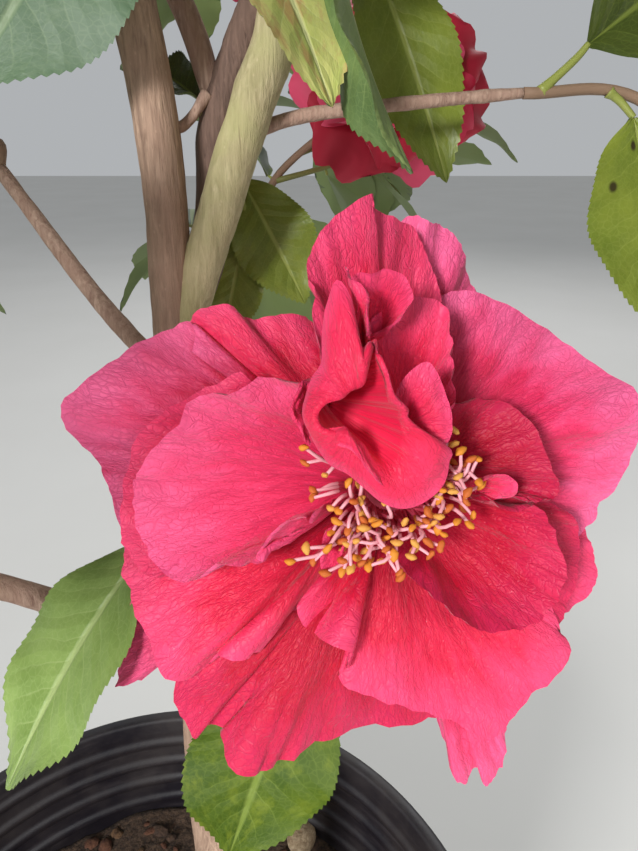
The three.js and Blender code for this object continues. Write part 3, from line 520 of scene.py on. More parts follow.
PETIOLE = plain("petiole", (150, 158, 78), 0.45)
BARK = bark_look("bark_brown", (204, 172, 148), (168, 136, 115), (108, 84, 69))
# Painted shade: the brown bark darkened throughout, for the middle stem.
BARK_SHADED = bark_look("bark_shaded", (140, 112, 98), (110, 86, 74), (74, 56, 48))
BARK_GREEN = bark_look("bark_green", (216, 202, 162), (190, 176, 132), (142, 126, 92), moss=(176, 172, 118))
BARK_TWIG = bark_look("bark_twig", (206, 176, 156), (176, 142, 124), (132, 98, 84))


# Wood


def limb_points(path, radius, sides, steps, relief=None, swell=None):
    """Rings round a path, in the source's way, with the bark's relief."""
    shares = np.linspace(0, 1, steps + 1)
    turns = np.arange(sides) * 2 * np.pi / sides
    reach = np.interp(shares, *zip(*radius))
    side, rings = np.array([1, 0.1, 0.05]), []
    for share, centre, along, r in zip(shares, path.at(shares), path.along(shares), reach):
        side = unit(side - along * side.dot(along))
        other = np.cross(along, side)
        out = np.cos(turns)[:, None] * side + np.sin(turns)[:, None] * other
        size = r * (swell(share, turns) if swell else 1)
        if relief:
            size = size + relief(centre + out * r)
        rings.append(centre + out * np.reshape(size, (-1, 1)))
    return np.array(rings)


def add_limb(bundle, path, radius, sides, steps, look=0, relief=None, swell=None):
    bundle.tube(limb_points(path, radius, sides, steps, relief, swell), look)


def bark_relief(depth, seed):
    """Ridges, lumps and cracks in bark, as a height at each place."""

    def relief(places):
        x, y, z = places.T
        ridge = rough(x * 0.28 + seed, y * 0.28, z * 0.035)
        lump = rough(x * 0.09 + seed, y * 0.09, z * 0.03)
        crack = rough(x * 0.7, y * 0.7 + seed, z * 0.16)
        return depth * (0.9 * ridge + 1.3 * lump + 0.45 * crack)

    return relief


TRUNK = Path([TRUNK_FOOT, (29, 27, 250), (25, 45, 330), (21, 66, 410), (18, 80, 458)])
TRUNK_RADIUS = [(0, 18.5), (0.05, 13.5), (0.14, 10.5), (0.8, 9.5), (0.96, 11), (1, 8.5)]
LEFT_STEM = Path([
    (16, 80, 444), (18.2, 80, 493), (17.5, 80, 522), (14.9, 80, 549), (4, 82, 640), (-14, 78, 740),
    (-24, 72, 832)])
RIGHT_STEM = Path([
    (21, 80, 446), (22.6, 80, 469), (34.4, 80, 501), (44.1, 80, 527), (52.1, 80, 549), (64, 76, 630),
    (66, 66, 745), (52, 60, 850)])
MIDDLE_STEM = Path([
    (18, 82, 462), (26, 90, 480), (30.5, 92, 500), (32.7, 92, 519), (40, 91, 537), (49, 86, 552),
    (55, 80, 560)])
STEMS = {
    "left_stem": (LEFT_STEM, [(0, 6.2), (0.5, 5.8), (1, 2.8)], 260, BARK),
    "right_stem": (RIGHT_STEM, [(0, 6.2), (0.5, 6), (1, 2.6)], 260, BARK_GREEN),
    "middle_stem": (MIDDLE_STEM, [(0, 5.4), (0.3, 5.6), (0.6, 6), (1, 6.4)], 90, BARK_SHADED),
}
LINK_TWIG = Path([(18.6, 82, 520.2), (24.4, 85, 520.6), (31, 88, 528.5)])
LINK_TWIG_RADIUS = [(0, 2.2), (0.3, 1.6), (0.8, 1.5), (1, 2)]


def lobed_foot(share, turns):
    return 1 + 0.14 * np.cos(3 * turns + 0.8) * max(0, 1 - share * 9)


def limb_piece(name, look, *limb):
    bundle = Bundle()
    add_limb(bundle, *limb)
    return bundle.piece(name, [look], "bark")


def make_trunk():
    piece = limb_piece("bark_trunk", BARK, TRUNK, TRUNK_RADIUS, 40, 170, 0, bark_relief(0.55, 3), lobed_foot)
    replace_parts(piece, "trunk")


def make_stems():
    for number, (name, (path, radius, steps, look)) in enumerate(STEMS.items()):
        relief = bark_relief(0.5, 7 * number + 11)
        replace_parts(limb_piece(f"bark_{name}", look, path, radius, 30, steps, 0, relief), name)
    limb_piece("link_twig", BARK_TWIG, LINK_TWIG, LINK_TWIG_RADIUS, 12, 30, 0, bark_relief(0.16, 5))


# The crown's masses and boughs

RINGS = [
    ("low", 500, 165, {"right": 4, "back": 82, "left": 152, "front_left": 214}),
    ("waist", 612, 200, {"front_right": 330, "right": 30, "back": 86, "back_left": 146, "left": 206}),
    ("shoulder", 742, 195, {"front": 270, "right": 342, "back_right": 54, "back_left": 126, "left": 198}),
    ("high", 858, 108, {"front": 310, "back": 70, "left": 190}),
]
MASSES_WITH_BLOOM = ("waist_left", "waist_front_right", "waist_back", "shoulder_front", "high_back")
KNOWN_BOUGHS = {
    "low_right": ([(41, 80.5, 518), (58, 86.5, 523), (87.1, 85, 526.1), (118, 86, 528.6)], (2.0, 1.6)),
    "low_left": ([(18, 84, 440), (-12, 101, 467), (-45, 119, 507)], (3.4, 2.4)),
    "waist_back_left": (
        [(33, 92, 526), (24.6, 93, 551), (8, 98, 577), (-30, 118, 595), (-70, 138, 602)], (3.4, 2.6)),
}
KNOWN_VIA = {"low_right": (150.9, 88.3, 527.4)}
KNOWN_BLOOMS = {"low_back": (np.array([97.5, 214, 541]), TOWARDS_VIEWER, 51)}
LOW_STARTS = (0, 428, 0, 352)
# The lowest start of a level's boughs on their stem, and the rise from each to the next.
BOUGH_STARTS = {"waist": (560, 9), "shoulder": (640, 11), "high": (776, 10)}


def crown_masses():
    masses = []
    middle = np.array([*CROWN_CENTRE, 0.0])

    def add(name, level, order, centre):
        seed = len(masses) + 11
        masses.append(SimpleNamespace(name=name, level=level, order=order, centre=centre, seed=seed))

    for level, height, radius, directions in RINGS:
        for order, (direction, degrees) in enumerate(directions.items()):
            add(f"{level}_{direction}", level, order, middle + polar(radius, radians(degrees), height))
    add("top", "top", 0, middle + (-10, 0, CROWN_TOP))
    return masses


MASSES = crown_masses()
CENTRES = np.array([mass.centre for mass in MASSES])


def axis_at_height(path, height):
    shares = np.arange(0, 1.002, 0.002)
    return path.at(float(shares[np.argmax(path.at(shares)[:, 2] >= height)]))


def bough(mass):
    """A bough's path and its radii at both ends."""
    if mass.name in KNOWN_BOUGHS:
        points, ends = KNOWN_BOUGHS[mass.name]
        return Path(points), ends
    if mass.level == "low":
        start = axis_at_height(TRUNK, LOW_STARTS[mass.order])
    else:
        lowest, rise = BOUGH_STARTS[mass.level]
        leader = RIGHT_STEM if mass.centre[0] > CROWN_CENTRE[0] + 5 else LEFT_STEM
        start = axis_at_height(leader, lowest + rise * mass.order)
    entry = mass.centre + (start - mass.centre) * BOUGH_ENTRY
    middle = (start + entry) / 2 + UP * np.linalg.norm(entry - start) * BOUGH_ARCH
    return Path([start, middle, entry]), (4.2, 2.6)


def inside_space(points, mass):
    if (np.linalg.norm(points - mass.centre, axis=1) > MASS_REACH).any():
        return False
    others = CENTRES[[m is not mass for m in MASSES]]
    apart = np.linalg.norm(others - mass.centre, axis=1)
    near = ((points[:, None] - mass.centre) ** 2).sum(-1)
    far = ((points[:, None] - others[None]) ** 2).sum(-1)
    return bool(((far - near) / (2 * apart) >= SPACE_MARGIN).all())


def in_window(points):
    """Tells whether points stand in the photograph's view of the bloom, or too near the viewer."""
    away = points - np.array(EYE, float)
    dips = radians(DIPS)
    ahead = away[:, 1] * cos(dips) - away[:, 2] * sin(dips)
    above = away[:, 1] * sin(dips) + away[:, 2] * cos(dips)
    beside = (np.abs(away[:, 0]) < VIEW_WIDTH * ahead + 4) & (np.abs(above) < VIEW_HEIGHT * ahead + 4)
    seen = (ahead > 0) & (ahead < WINDOW_DEPTH) & beside
    return bool((seen | (np.linalg.norm(away, axis=1) < ELBOW_ROOM)).any())


# Leaves

OUTLINE = ([0, 0.03, 0.1, 0.22, 0.36, 0.5, 0.62, 0.74, 0.84, 0.92, 0.97, 1],
           [0.05, 0.16, 0.42, 0.72, 0.93, 1, 0.95, 0.77, 0.5, 0.25, 0.11, 0.02])


def leaf_shape(base, tip, up, width, t, s, arch, fold, wave, phase, tooth, teeth, curl=0.0):
    """Points of a leaf blade at shares t along it and s across it, from margin to margin."""
    base, tip, up = (np.asarray(v, float) for v in (base, tip, up))
    length = np.linalg.norm(tip - base)
    along = (tip - base) / length
    face = unit(up - along * along.dot(up))
    across = np.cross(along, face)
    toothed = smoothstep(0.08, 0.2, t) * smoothstep(1.0, 0.95, t)
    saw = (t * teeth) % 1 * np.abs(s) ** 6 * toothed * tooth
    y = (width / 2 * through(*OUTLINE, t) + saw) * s
    lift = fold * np.abs(y) - 0.35 * fold * y**2 / (width / 2)
    lift = lift + arch * length * (np.sin(np.pi * t) - 0.35 * t) - curl * length * smoothstep(0.6, 1, t) ** 2
    lift = lift + wave * np.sin(2 * np.pi * (2.6 * t + phase) + 1.3 * np.sign(s)) * s**2
    x = t * length + saw * 0.8
    return base + x[..., None] * along + y[..., None] * across + lift[..., None] * face


LEAF_COLUMNS = np.array([-1, -0.52, -0.07, 0.07, 0.52, 1])
LEAF_STRIPS = len(LEAF_COLUMNS) - 1
LEAF_GRID = spans(np.linspace(0, 1, 17), LEAF_COLUMNS)


def add_crown_leaf(bundle, leaf, tone, random):
    points = leaf_shape(leaf.base, leaf.tip, leaf.up, leaf.width, *LEAF_GRID, arch=0.03 + 0.06 * random(),
                        fold=0.16 + 0.2 * random(), wave=1.6 * random(), phase=random(), curl=0.08 * random(),
                        tooth=1.0, teeth=8)
    rows = len(points) - 1
    strip_looks = [RIB_LOOK if strip == LEAF_STRIPS // 2 else tone for strip in range(LEAF_STRIPS)]
    bundle.sheet(points, 0.5, strip_looks * rows, UNDER_LOOK)


def leaf_on_shoot(path, share, turn, length, splay, droop, roll):
    """The source's rule for a leaf: its node, its way, and its face outward and to the sky."""
    node, along = path.at(share), path.along(share)
    side = np.cross(along, UP)
    side = unit(side) if side.dot(side) > 1e-3 else np.array([1.0, 0, 0])
    radial = side * cos(turn) + np.cross(side, along) * sin(turn)
    heading = along * cos(splay) + radial * sin(splay)
    heading[2] -= droop
    heading = unit(heading)
    return SimpleNamespace(node=node, base=node + heading * 4.5, tip=node + heading * length,
                           up=UP + 0.55 * along + roll * radial, width=length * 0.47)


LEAF_PROBE = np.array([
    (0.2, 0), (0.4, 0), (0.6, 0), (0.8, 0), (1, 0), (0.5, -1), (0.5, 1), (0.75, -0.6), (0.75, 0.6)])


def probe_points(leaf):
    along = leaf.tip - leaf.base
    across = unit(np.cross(leaf.up, along)) * leaf.width / 2
    return leaf.base + LEAF_PROBE[:, :1] * along + LEAF_PROBE[:, 1:] * across


class Grown:
    """What stands in the crown already, as points with the room that each needs."""

    def __init__(self):
        self.points, self.rooms = np.zeros((0, 3)), np.zeros(0)

    def add(self, points, room):
        self.points = np.vstack([self.points, points])
        self.rooms = np.append(self.rooms, np.full(len(points), room))

    def clear(self, points):
        away = np.linalg.norm(points[:, None] - self.points[None], axis=2)
        return bool((away > self.rooms).all())


def free_for(mass):
    """Tells whether points keep to a mass's own space, and to the reach of the solid that it replaces."""
    low, high = (np.array(corner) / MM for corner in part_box(f"foliage_{mass.name}"))

    def free(points):
        within = (points > low - REACH_MARGIN).all() and (points < high + REACH_MARGIN).all()
        return bool(within) and inside_space(points, mass) and not in_window(points)

    return free


def mass_stem(mass, path):
    """The stem of a mass, and its bloom."""
    entry, heading = path.at(1.0), path.along(1.0)
    start = entry + heading * CLEARANCE
    outward = unit(mass.centre - start)
    past = mass.centre + outward * MASS_REACH * 0.28 + UP * 12
    bloom = KNOWN_BLOOMS.get(mass.name)
    if mass.name in MASSES_WITH_BLOOM:
        axis, radius, free = unit(outward + 0.1 * UP), 50, free_for(mass)
        side = unit(np.cross(axis, UP))
        rim = np.array([rotate(side, axis, i * pi / 4) for i in range(8)])
        while radius > 25 and not free(past + rim * radius):
            radius -= 2
        bloom = (past, axis, radius)
    via = np.array(KNOWN_VIA.get(mass.name, start + heading * 12), float)
    return Path([start, via, mass.centre, bloom[0] if bloom else past]), bloom


def shoot_path(stem, order, seed, random):
    share = 0.22 + 0.7 * (order + 0.5) / SHOOTS_PER_MASS
    node, along = stem.at(share), stem.along(share)
    radial = rotate(unit(np.cross(along, UP)), along, order * GOLDEN_ANGLE + seed)
    reach = MASS_REACH * (0.62 - 0.24 * share) * (0.85 + 0.3 * random())
    tilt = radians(58 - 14 * share)
    end = node + along * cos(tilt) * reach + radial * sin(tilt) * reach + UP * 0.12 * reach
    return Path([node, (node + end) / 2 - UP * 0.03 * reach, end])


def side_twig(shoot, share, turn, random):
    """A finer twig off a shoot."""
    node, along = shoot.at(share), shoot.along(share)
    radial = rotate(unit(np.cross(along, UP) + 1e-6), along, turn)
    end = node + (along * 0.62 + radial * 0.72 + UP * 0.16) * (26 + 20 * random())
    return Path([node, (node + end) / 2 + UP, end])


TIP_SPLAY = 12
LONGEST_LEAF = 76
LONGEST_TIP_LEAF = 88
LEAF_ROOM = 5.5
LEAF_SIZES = (1, 0.82, 0.66)


def grow_shoots(mass, stem, bloom, free, random):
    """A mass's stem, the source's shoots on it, and side twigs on those."""

    def shoot(path, first, last, pitch, splay=58, tip=True):
        return SimpleNamespace(path=path, first=first, last=last, pitch=pitch, splay=splay, tip=tip)

    shoots = [shoot(stem, 0.4, 0.7 if bloom else 0.97, 0.07, tip=not bloom)]
    for order in range(SHOOTS_PER_MASS):
        path = shoot_path(stem, order, mass.seed, random)
        if free(path.at(np.array([0.5, 1.0]))):
            shoots.append(shoot(path, 0.3, 0.97, 0.14))
            for number, share in enumerate((0.42, 0.68)):
                twig = side_twig(path, share, number * GOLDEN_ANGLE + ANY_TURN * random(), random)
                if free(twig.at(np.array([0.5, 1.0]))):
                    shoots.append(shoot(twig, 0.3, 0.95, 0.27, splay=50))
    return shoots


def grow_mass(mass, stem, bloom, grown):
    """Twigs and leaves of one mass, with each leaf as large as it has room for, and those at tips first."""
    random = seeded(mass.seed)
    free = free_for(mass)
    shoots = grow_shoots(mass, stem, bloom, free, random)
    places, leaves = [], []
    for number, shoot in enumerate(shoots):
        if shoot.tip:
            places.append((random(), number, 1.0, TIP_SPLAY, 0))
        node = 0
        while shoot.last - node * shoot.pitch >= shoot.first:
            share = shoot.last - node * shoot.pitch
            places.append((1 + node * 0.5 + random(), number, share, shoot.splay, node))
            node += 1
    for _, number, share, splay, node in sorted(places):
        turn = node * GOLDEN_ANGLE + random() * 0.9
        longest = LONGEST_TIP_LEAF if splay == TIP_SPLAY else LONGEST_LEAF
        for size in LEAF_SIZES:
            length = longest * size * (0.85 + 0.2 * random())
            droop, roll = 0.1 + 0.75 * random(), 1.6 * (random() - 0.5)
            leaf = leaf_on_shoot(shoots[number].path, share, turn, length, radians(splay), droop, roll)
            probe = probe_points(leaf)
            if free(probe) and grown.clear(probe):
                grown.add(probe, LEAF_ROOM)
                leaf.shoot = number
                leaves.append(leaf)
                break
    return shoots, leaves


# Small blooms, stamens and buds

SIDEWAYS = np.array([0.3, 0.2, 1])
# Each whorl's number of petals, its reach, its rise, and the width and cup of its petals.
WHORLS = [
    (6, 1.0, 0.12, 1.0, 0.1), (6, 0.86, 0.3, 0.9, 0.25), (5, 0.66, 0.55, 0.8, 0.4), (4, 0.46, 0.8, 0.7, 0.5)]
STAMENS_OF_SMALL_BLOOM = 40


def petal_of_whorl(centre, axis, turn, radius, rise, width, cup, random):
    """A small bloom's petal: broad, cupped, and a little notched at its tip."""
    side, other = square_to(axis, SIDEWAYS)
    out = side * cos(turn) + other * sin(turn)
    across = np.cross(axis, out)
    u, v = spans(np.linspace(0.05, 1, 10), np.linspace(-1, 1, 13))
    half = width * radius / 2 * np.sin(np.pi * u * 0.8) ** 0.7
    reach = radius * u * (1 - 0.3 * np.abs(v) ** 2.6 * u**3 - 0.07 * np.exp(-(v * 4) ** 2) * u**3)
    ruffle = 0.07 * radius * u**3 * np.sin(v * (4 + 3 * random()) + 6 * random())
    height = radius * (rise * u**1.2 + cup * v**2 * u * 0.5 - 0.25 * u**3) + ruffle
    return centre + reach[..., None] * out + (half * v)[..., None] * across + height[..., None] * axis


def add_small_bloom(petals, stamens, bloom, seed):
    centre, axis, radius = bloom
    random = seeded(seed + 100)
    axis = unit(axis)
    for layer, (count, reach, rise, width, cup) in enumerate(WHORLS):
        start = centre + axis * (layer * 1.6 - 0.1 * radius)
        for petal in range(count):
            turn = 2 * pi * (petal + 0.5 * layer + 0.3 * random()) / count
            size = radius * reach * (0.9 + 0.12 * random())
            lift = rise * (0.8 + 0.4 * random())
            points = petal_of_whorl(start, axis, turn, size, lift, width, cup, random)
            petals.sheet(points, 0.6, min(2, int(3 * random())))
    add_small_stamens(stamens, centre + axis, axis, radius * 0.42, random)


def add_filament(bundle, points, radius, sides, look=0, foot_look=None):
    """A thin tapering tube, which may have another look at its foot."""
    rings = limb_points(Path(points), [(0, radius), (1, radius * 0.75)], sides, 7)
    foot = 0 if foot_look is None else 3
    sides_looks = [foot_look] * sides * foot + [look] * sides * (7 - foot)
    bundle.tube(rings, sides_looks + [look, look])


def ring_points(u, v, size, fat, bend, place, way, towards):
    """Rings of a small round body along a way, fat in places and bent to one side."""
    side, other = square_to(way, towards)
    aside, above = fat * np.cos(2 * np.pi * v) + bend, fat * np.sin(2 * np.pi * v)
    return place + (u * size)[..., None] * way + aside[..., None] * side + above[..., None] * other


def add_anther(bundle, place, way, size, look, random):
    """Two pollen sacs side by side, as one bean."""
    u, v = spans(np.linspace(0.02, 0.98, 6), np.arange(8) / 8)
    fat = size * np.sin(np.pi * u) ** 0.5 * (0.21 + 0.1 * np.abs(np.cos(2 * np.pi * v)))
    fat = fat * (0.85 + 0.3 * np.array([random() for _ in range(6)]))[:, None]
    bend = size * 0.14 * random() * np.sin(np.pi * u)
    bundle.tube(ring_points(u - 0.5, v, size, fat, bend, place, unit(way), UP + 0.01), look)


def add_small_stamens(bundle, centre, axis, reach, random):
    """A boss of stamens that spread from a ring."""
    side, other = square_to(axis, SIDEWAYS)
    for number in range(STAMENS_OF_SMALL_BLOOM):
        turn = number * GOLDEN_ANGLE
        out = side * cos(turn) + other * sin(turn)
        foot = centre + out * reach * 0.12
        tip = centre + unit(axis + out * (0.15 + 0.6 * random())) * reach * (0.8 + 0.25 * random())
        middle = (foot + tip) / 2 - out * reach * 0.05 + axis * reach * 0.05
        add_filament(bundle, [foot, middle, tip], 0.35, 4)
        way = out + axis * (random() - 0.3)
        add_anther(bundle, tip, way, 2.2, 2 + int(3 * random()) % 3, random)


def add_bud(bundle, base, way, length):
    """A pointed flower bud in its scales."""
    u, v = spans(np.linspace(0, 1, 9), np.arange(10) / 10)
    fat = length * 0.3 * np.sin(np.pi * np.clip(u * 0.94 + 0.05, 0, 1)) ** 0.7
    fat = fat * (1 + 0.06 * np.cos(10 * np.pi * v + 9 * u))
    scale_faces, tip_faces = 60, 20
    looks = [0] * scale_faces + [1] * tip_faces + [0, 1]
    bundle.tube(ring_points(u, v, length, fat, 0, base, unit(way), UP + 0.02), looks)


# The crown


def make_boughs(grown):
    """The boughs, and the path that each mass grows on from."""
    bundle, paths = Bundle(), {"top": LEFT_STEM}
    for path in (TRUNK, LEFT_STEM, RIGHT_STEM, MIDDLE_STEM):
        grown.add(path.at(np.linspace(0, 1, 60)), 12)
    limbs = [mass for mass in MASSES if mass.name != "top"]
    for mass in limbs:
        path, (thick, thin) = bough(mass)
        paths[mass.name] = path
        grown.add(path.at(np.linspace(0.1, 1, 24)), 6)
        flare = 1 if mass.name in KNOWN_BOUGHS else 1.25
        radius = [(0, thick * flare), (0.12, thick), (1, thin)]
        add_limb(bundle, path, radius, 14, 80, 0, bark_relief(0.16, mass.seed))
    return bundle, paths, [f"bough_{mass.name}" for mass in limbs]


def shoot_radii(number, shoot, mass):
    if number == 0:
        return (2.8 if mass.name == "top" else bough(mass)[1][1], 1.5)
    return (1.5, 1.0) if shoot.pitch < 0.2 else (1.0, 0.8)


def make_crown():
    leaves_low, leaves_high, twigs, petals, stamens, buds = (Bundle() for _ in range(6))
    grown = Grown()
    boughs, paths, limbs = make_boughs(grown)
    stems = [mass_stem(mass, paths[mass.name]) for mass in MASSES]
    for _, bloom in stems:
        if bloom:
            grown.add(bloom[0][None], bloom[2] * 0.8)
    below, above = [], []
    for mass, (stem, bloom) in zip(MASSES, stems):
        random = seeded(mass.seed + 500)
        shoots, leaves = grow_mass(mass, stem, bloom, grown)
        for number, shoot in enumerate(shoots):
            thick, thin = shoot_radii(number, shoot, mass)
            steps, look = (8, 1) if number else (30, 0)
            add_limb(twigs, shoot.path, [(0, thick), (1, thin)], 7, steps, look)
            if number and random() < 0.16:
                add_bud(buds, shoot.path.at(1.0), shoot.path.along(1.0) + UP * 0.3, 13 + 5 * random())
        low = mass.level in ("low", "waist")
        (below if low else above).append(f"foliage_{mass.name}")
        tones = [int(random() * 4.99) for _ in shoots]
        for leaf in leaves:
            add_crown_leaf(leaves_low if low else leaves_high, leaf, tones[leaf.shoot], random)
            add_filament(twigs, [leaf.node, (leaf.node + leaf.base) / 2 + UP * 0.4, leaf.base], 0.9, 4, 2)
        if bloom:
            add_small_bloom(petals, stamens, bloom, mass.seed)
    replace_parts(leaves_low.piece("leaves_lower", CROWN_LEAF_LOOKS, "leaf"), *below)
    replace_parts(leaves_high.piece("leaves_upper", CROWN_LEAF_LOOKS, "leaf"), *above)
    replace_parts(boughs.piece("bark_boughs", [BARK_TWIG], "bark"), *limbs)
    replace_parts(twigs.piece("twigs", [TWIG_OLD, TWIG_YOUNG, PETIOLE], "bark"), *below, *above)
    petals.piece("crown_blossom", PETAL_PLAIN, "petal")
    stamens.piece("crown_stamens", STAMEN_LOOKS, "petal")
    buds.piece("buds", [BUD_SCALE, BUD_TIP], "leaf")


# The large bloom

# What a petal has where its entry says nothing else. Its rim is given by handles, each an angle in degrees,
# a reach and a rise over the receptacle. Each fold, and each curl of the margin, has its place from the
# rim's first handle (0) to its last (1), its height and its width.
# A petal's tone names one of the lit and shaded copies of the petal colour, which paint light and shade into
# it.
PETAL = {"tone": "mid", "belly": 4, "lift": 1.3, "sinks": 0, "columns": 56, "folds": (), "curls": ()}
PETALS = {
    "back_tip": dict(tone="bright", belly=5, claw=-6, rim=[
        (-78, 49, -3), (-78, 60, -4), (-76, 71, -4), (-73, 69, -5), (-72, 73, -4), (-68, 70, -4),
        (-63, 60, -3), (-57, 54, -2)]),
    "back_right": dict(claw=-7, rim=[
        (-13, 45, -6), (-22, 51, -6), (-27, 54, -6), (-34, 53, -6), (-41, 50, -6)]),
    "back_lower_left": dict(tone="bright", belly=5, claw=-8, rim=[
        (-162, 62, -6), (-152, 67, -8), (-143, 78, -8), (-141, 77, -8), (-138, 66, -8), (-132, 67, -8),
        (-128, 50, -6)]),
    "outer_upper_left": dict(folds=[(0.4, 2, 0.1), (0.75, -2, 0.12)], claw=-4, lift=1.2, rim=[
        (152, 50, 0), (143, 54, 0), (138, 54, 1), (131, 46, -1), (118, 41, 0), (110, 34, 0), (107, 25, 0)]),
    "outer_top": dict(tone="light", folds=[(0.3, 1.8, 0.08), (0.6, 1.6, 0.08)], claw=-4, rim=[
        (93, 49, 4), (87, 55, 8), (82, 54, 8), (77, 54, 6), (70, 49, 3), (61, 44, 0), (51, 38, 0)]),
    "outer_left": dict(
        tone="light", belly=2, folds=[(0.35, 2.2, 0.12), (0.7, -1.5, 0.1)], claw=-3, lift=1.2, rim=[
            (147, 50, 2), (142, 55, 3), (157, 65, 2), (169, 73, 0), (176, 64, 2), (184, 60, 3),
            (197, 58, 4), (205, 56, 4)]),
    "outer_right": dict(
        tone="light", belly=5, folds=[(0.2, 1.8, 0.1), (0.48, 2.6, 0.1), (0.75, -2, 0.1)], claw=-2, rim=[
            (79, 38, 6), (67, 43, 5), (44, 47, 2), (28, 51, 2), (17, 56, 3), (8, 55, 1), (-6, 49, 1),
            (-16, 45, 0), (-28, 38, 0)]),
    "bottom": dict(
        tone="deep", sinks=3, belly=8, columns=72, curls=[(0.45, 3, 0.12)], claw=-2,
        folds=[(0.14, 1.4, 0.07), (0.36, -2.6, 0.1), (0.62, 2.6, 0.14)], rim=[
            (-143, 43, 4), (-136, 61, 6), (-127, 68, 7), (-124, 65, 5), (-118, 68, 4), (-113, 64, 3),
            (-102, 56, 3), (-80, 53, 1), (-76, 45, 1)]),
    "lower_left": dict(
        sinks=2, belly=7, folds=[(0.42, 3.4, 0.1), (0.16, -1.5, 0.1), (0.55, -2, 0.06)],
        curls=[(0.68, 2.4, 0.12)], claw=0, rim=[
            (-176, 50, 8), (-163, 58, 9), (-157, 59, 9), (-146, 59, 9), (-138, 59, 9), (-135, 54, 10),
            (-133, 47, 12), (-131, 42, 10), (-129, 33, 8), (-120, 24, 7)]),
    "under_left": dict(belly=2, claw=0, rim=[
        (144, 38, 12), (162, 48, 12), (171, 53, 11), (184, 55, 11), (194, 56, 11), (201, 53, 11),
        (203, 47, 11)]),
    "lower_right": dict(
        sinks=5, belly=3.5, columns=84, curls=[(0.3, 3, 0.12), (0.85, 2.5, 0.1)], claw=1,
        folds=[
            (0.06, 2.4, 0.04), (0.16, -2.2, 0.045), (0.27, 2.6, 0.05), (0.42, -1.8, 0.07), (0.82, 1.8, 0.08)],
        rim=[
            (-130, 28.7, 13), (-126, 32, 13), (-119, 34.4, 13), (-113, 34.3, 13), (-108, 35, 13),
            (-106.5, 38.7, 13), (-104, 41.4, 12.5), (-100, 42.7, 12), (-88, 45, 11), (-77, 50, 10),
            (-68, 55, 10), (-59, 52, 9), (-46, 51, 8), (-40, 44, 8), (-36, 38, 8)]),
    "under_right": dict(tone="deep", sinks=3, claw=1, rim=[
        (-56, 40, 8), (-41, 46, 8), (-33, 45, 8), (-22, 42, 9), (-12, 38, 10), (-5, 30, 10)]),
    "inner_lower_right": dict(
        tone="deep", sinks=-2, belly=1.5, folds=[(0.12, 2, 0.08), (0.42, -1.8, 0.14), (0.75, 2.2, 0.1)],
        curls=[(0.55, 2, 0.3)], claw=2, lift=2.1, rim=[
            (-90, 15, 14), (-75, 25, 15), (-63, 32, 15), (-53, 37, 15), (-40, 40, 14), (-29, 40, 14),
            (-18, 36, 14), (-8, 30, 14), (-8, 19, 15)]),
    "inner_left": dict(
        tone="open", sinks=-3, belly=2.5, columns=72, claw=2, lift=2,
        folds=[(0.12, 2.2, 0.1), (0.4, -2.2, 0.12), (0.58, 1.5, 0.08)],
        curls=[(0.3, 2.5, 0.25), (0.82, 4.5, 0.17)], rim=[
            (131, 27, 22), (141, 36, 20), (152, 44, 18), (165, 48, 16), (176, 52, 15), (184, 53, 15),
            (194, 51.5, 15), (202.5, 49.2, 15), (208, 43.7, 15.5), (210.6, 34.7, 15.5), (211, 30.3, 16.5),
            (209.3, 24, 17.5), (208.5, 18.6, 18.5), (199, 16.1, 20)]),
    "inner_right": dict(tone="dark", belly=3, claw=3, lift=1.4, rim=[
        (64, 23, 18), (57, 19, 18), (37, 26, 16), (23, 29, 16), (8, 30, 16), (-3, 32, 15), (-4, 26, 16),
        (-10, 16, 16)]),
    "inner_top_right": dict(belly=3, claw=3, lift=1.4, rim=[
        (104, 26, 20), (100, 32, 22), (89, 35, 22), (77, 35, 20), (71, 30, 20), (63, 21, 20), (58, 17, 20)]),
    "inner_top": dict(belly=3, folds=[(0.2, 2, 0.12), (0.55, -1.6, 0.14)], claw=4, lift=1.4, rim=[
        (123, 28, 20), (119, 37, 24), (114, 44, 24), (106, 50, 24), (95, 54, 24), (93, 52, 20), (86, 51, 14),
        (81, 45, 12), (76, 38, 10)]),
}
# The petaloids at the middle are given by pixels of the photograph and heights over the receptacle.
PHOTO_MIDDLE = (319, 425.5)
LENS_HEIGHT = 140
LENS_OFF = (-15.1, 11.5)
TRUMPET_THROAT = (322, 399, 20)
TRUMPET_CENTRE = (362, 412)
# Round the trumpet: an angle, then the reach and rise of its mouth, and those of its margin.
TRUMPET = [
    (3, 38, 31.4, 47, 31.5), (24, 31, 33.2, 38, 33.5), (51, 41, 34, 43, 34.6), (73, 57, 34, 59, 34.5),
    (82, 68, 34, 71, 34.6), (84, 50, 34.5, 72, 34.6), (87, 34, 34.5, 66, 35), (91, 28, 34.5, 68, 35),
    (95, 27, 34.5, 112, 34), (99.5, 26.5, 34.5, 134, 33), (107, 26, 34.4, 117, 31), (116, 26, 34.2, 91, 30),
    (124, 25.5, 34, 72, 30), (147, 27, 33.5, 61, 28.5), (166, 39, 33, 59, 27.5), (182, 46, 32.5, 60, 27),
    (201, 45, 32, 57, 26.5), (221, 33, 31.5, 58, 26), (240, 28, 30.5, 62, 25), (259, 30, 29.5, 65, 24.5),
    (273, 36, 28.5, 78, 24), (284, 52, 27, 95, 23.5), (294, 58, 25.5, 106, 23), (308, 58, 26, 110, 23.5),
    (320, 53, 28, 108, 24), (330, 50, 29.5, 101, 25.5), (338, 45, 30.3, 94, 27), (343, 42, 30.5, 66, 29.8),
    (350, 40, 30.8, 50, 31.2),
]
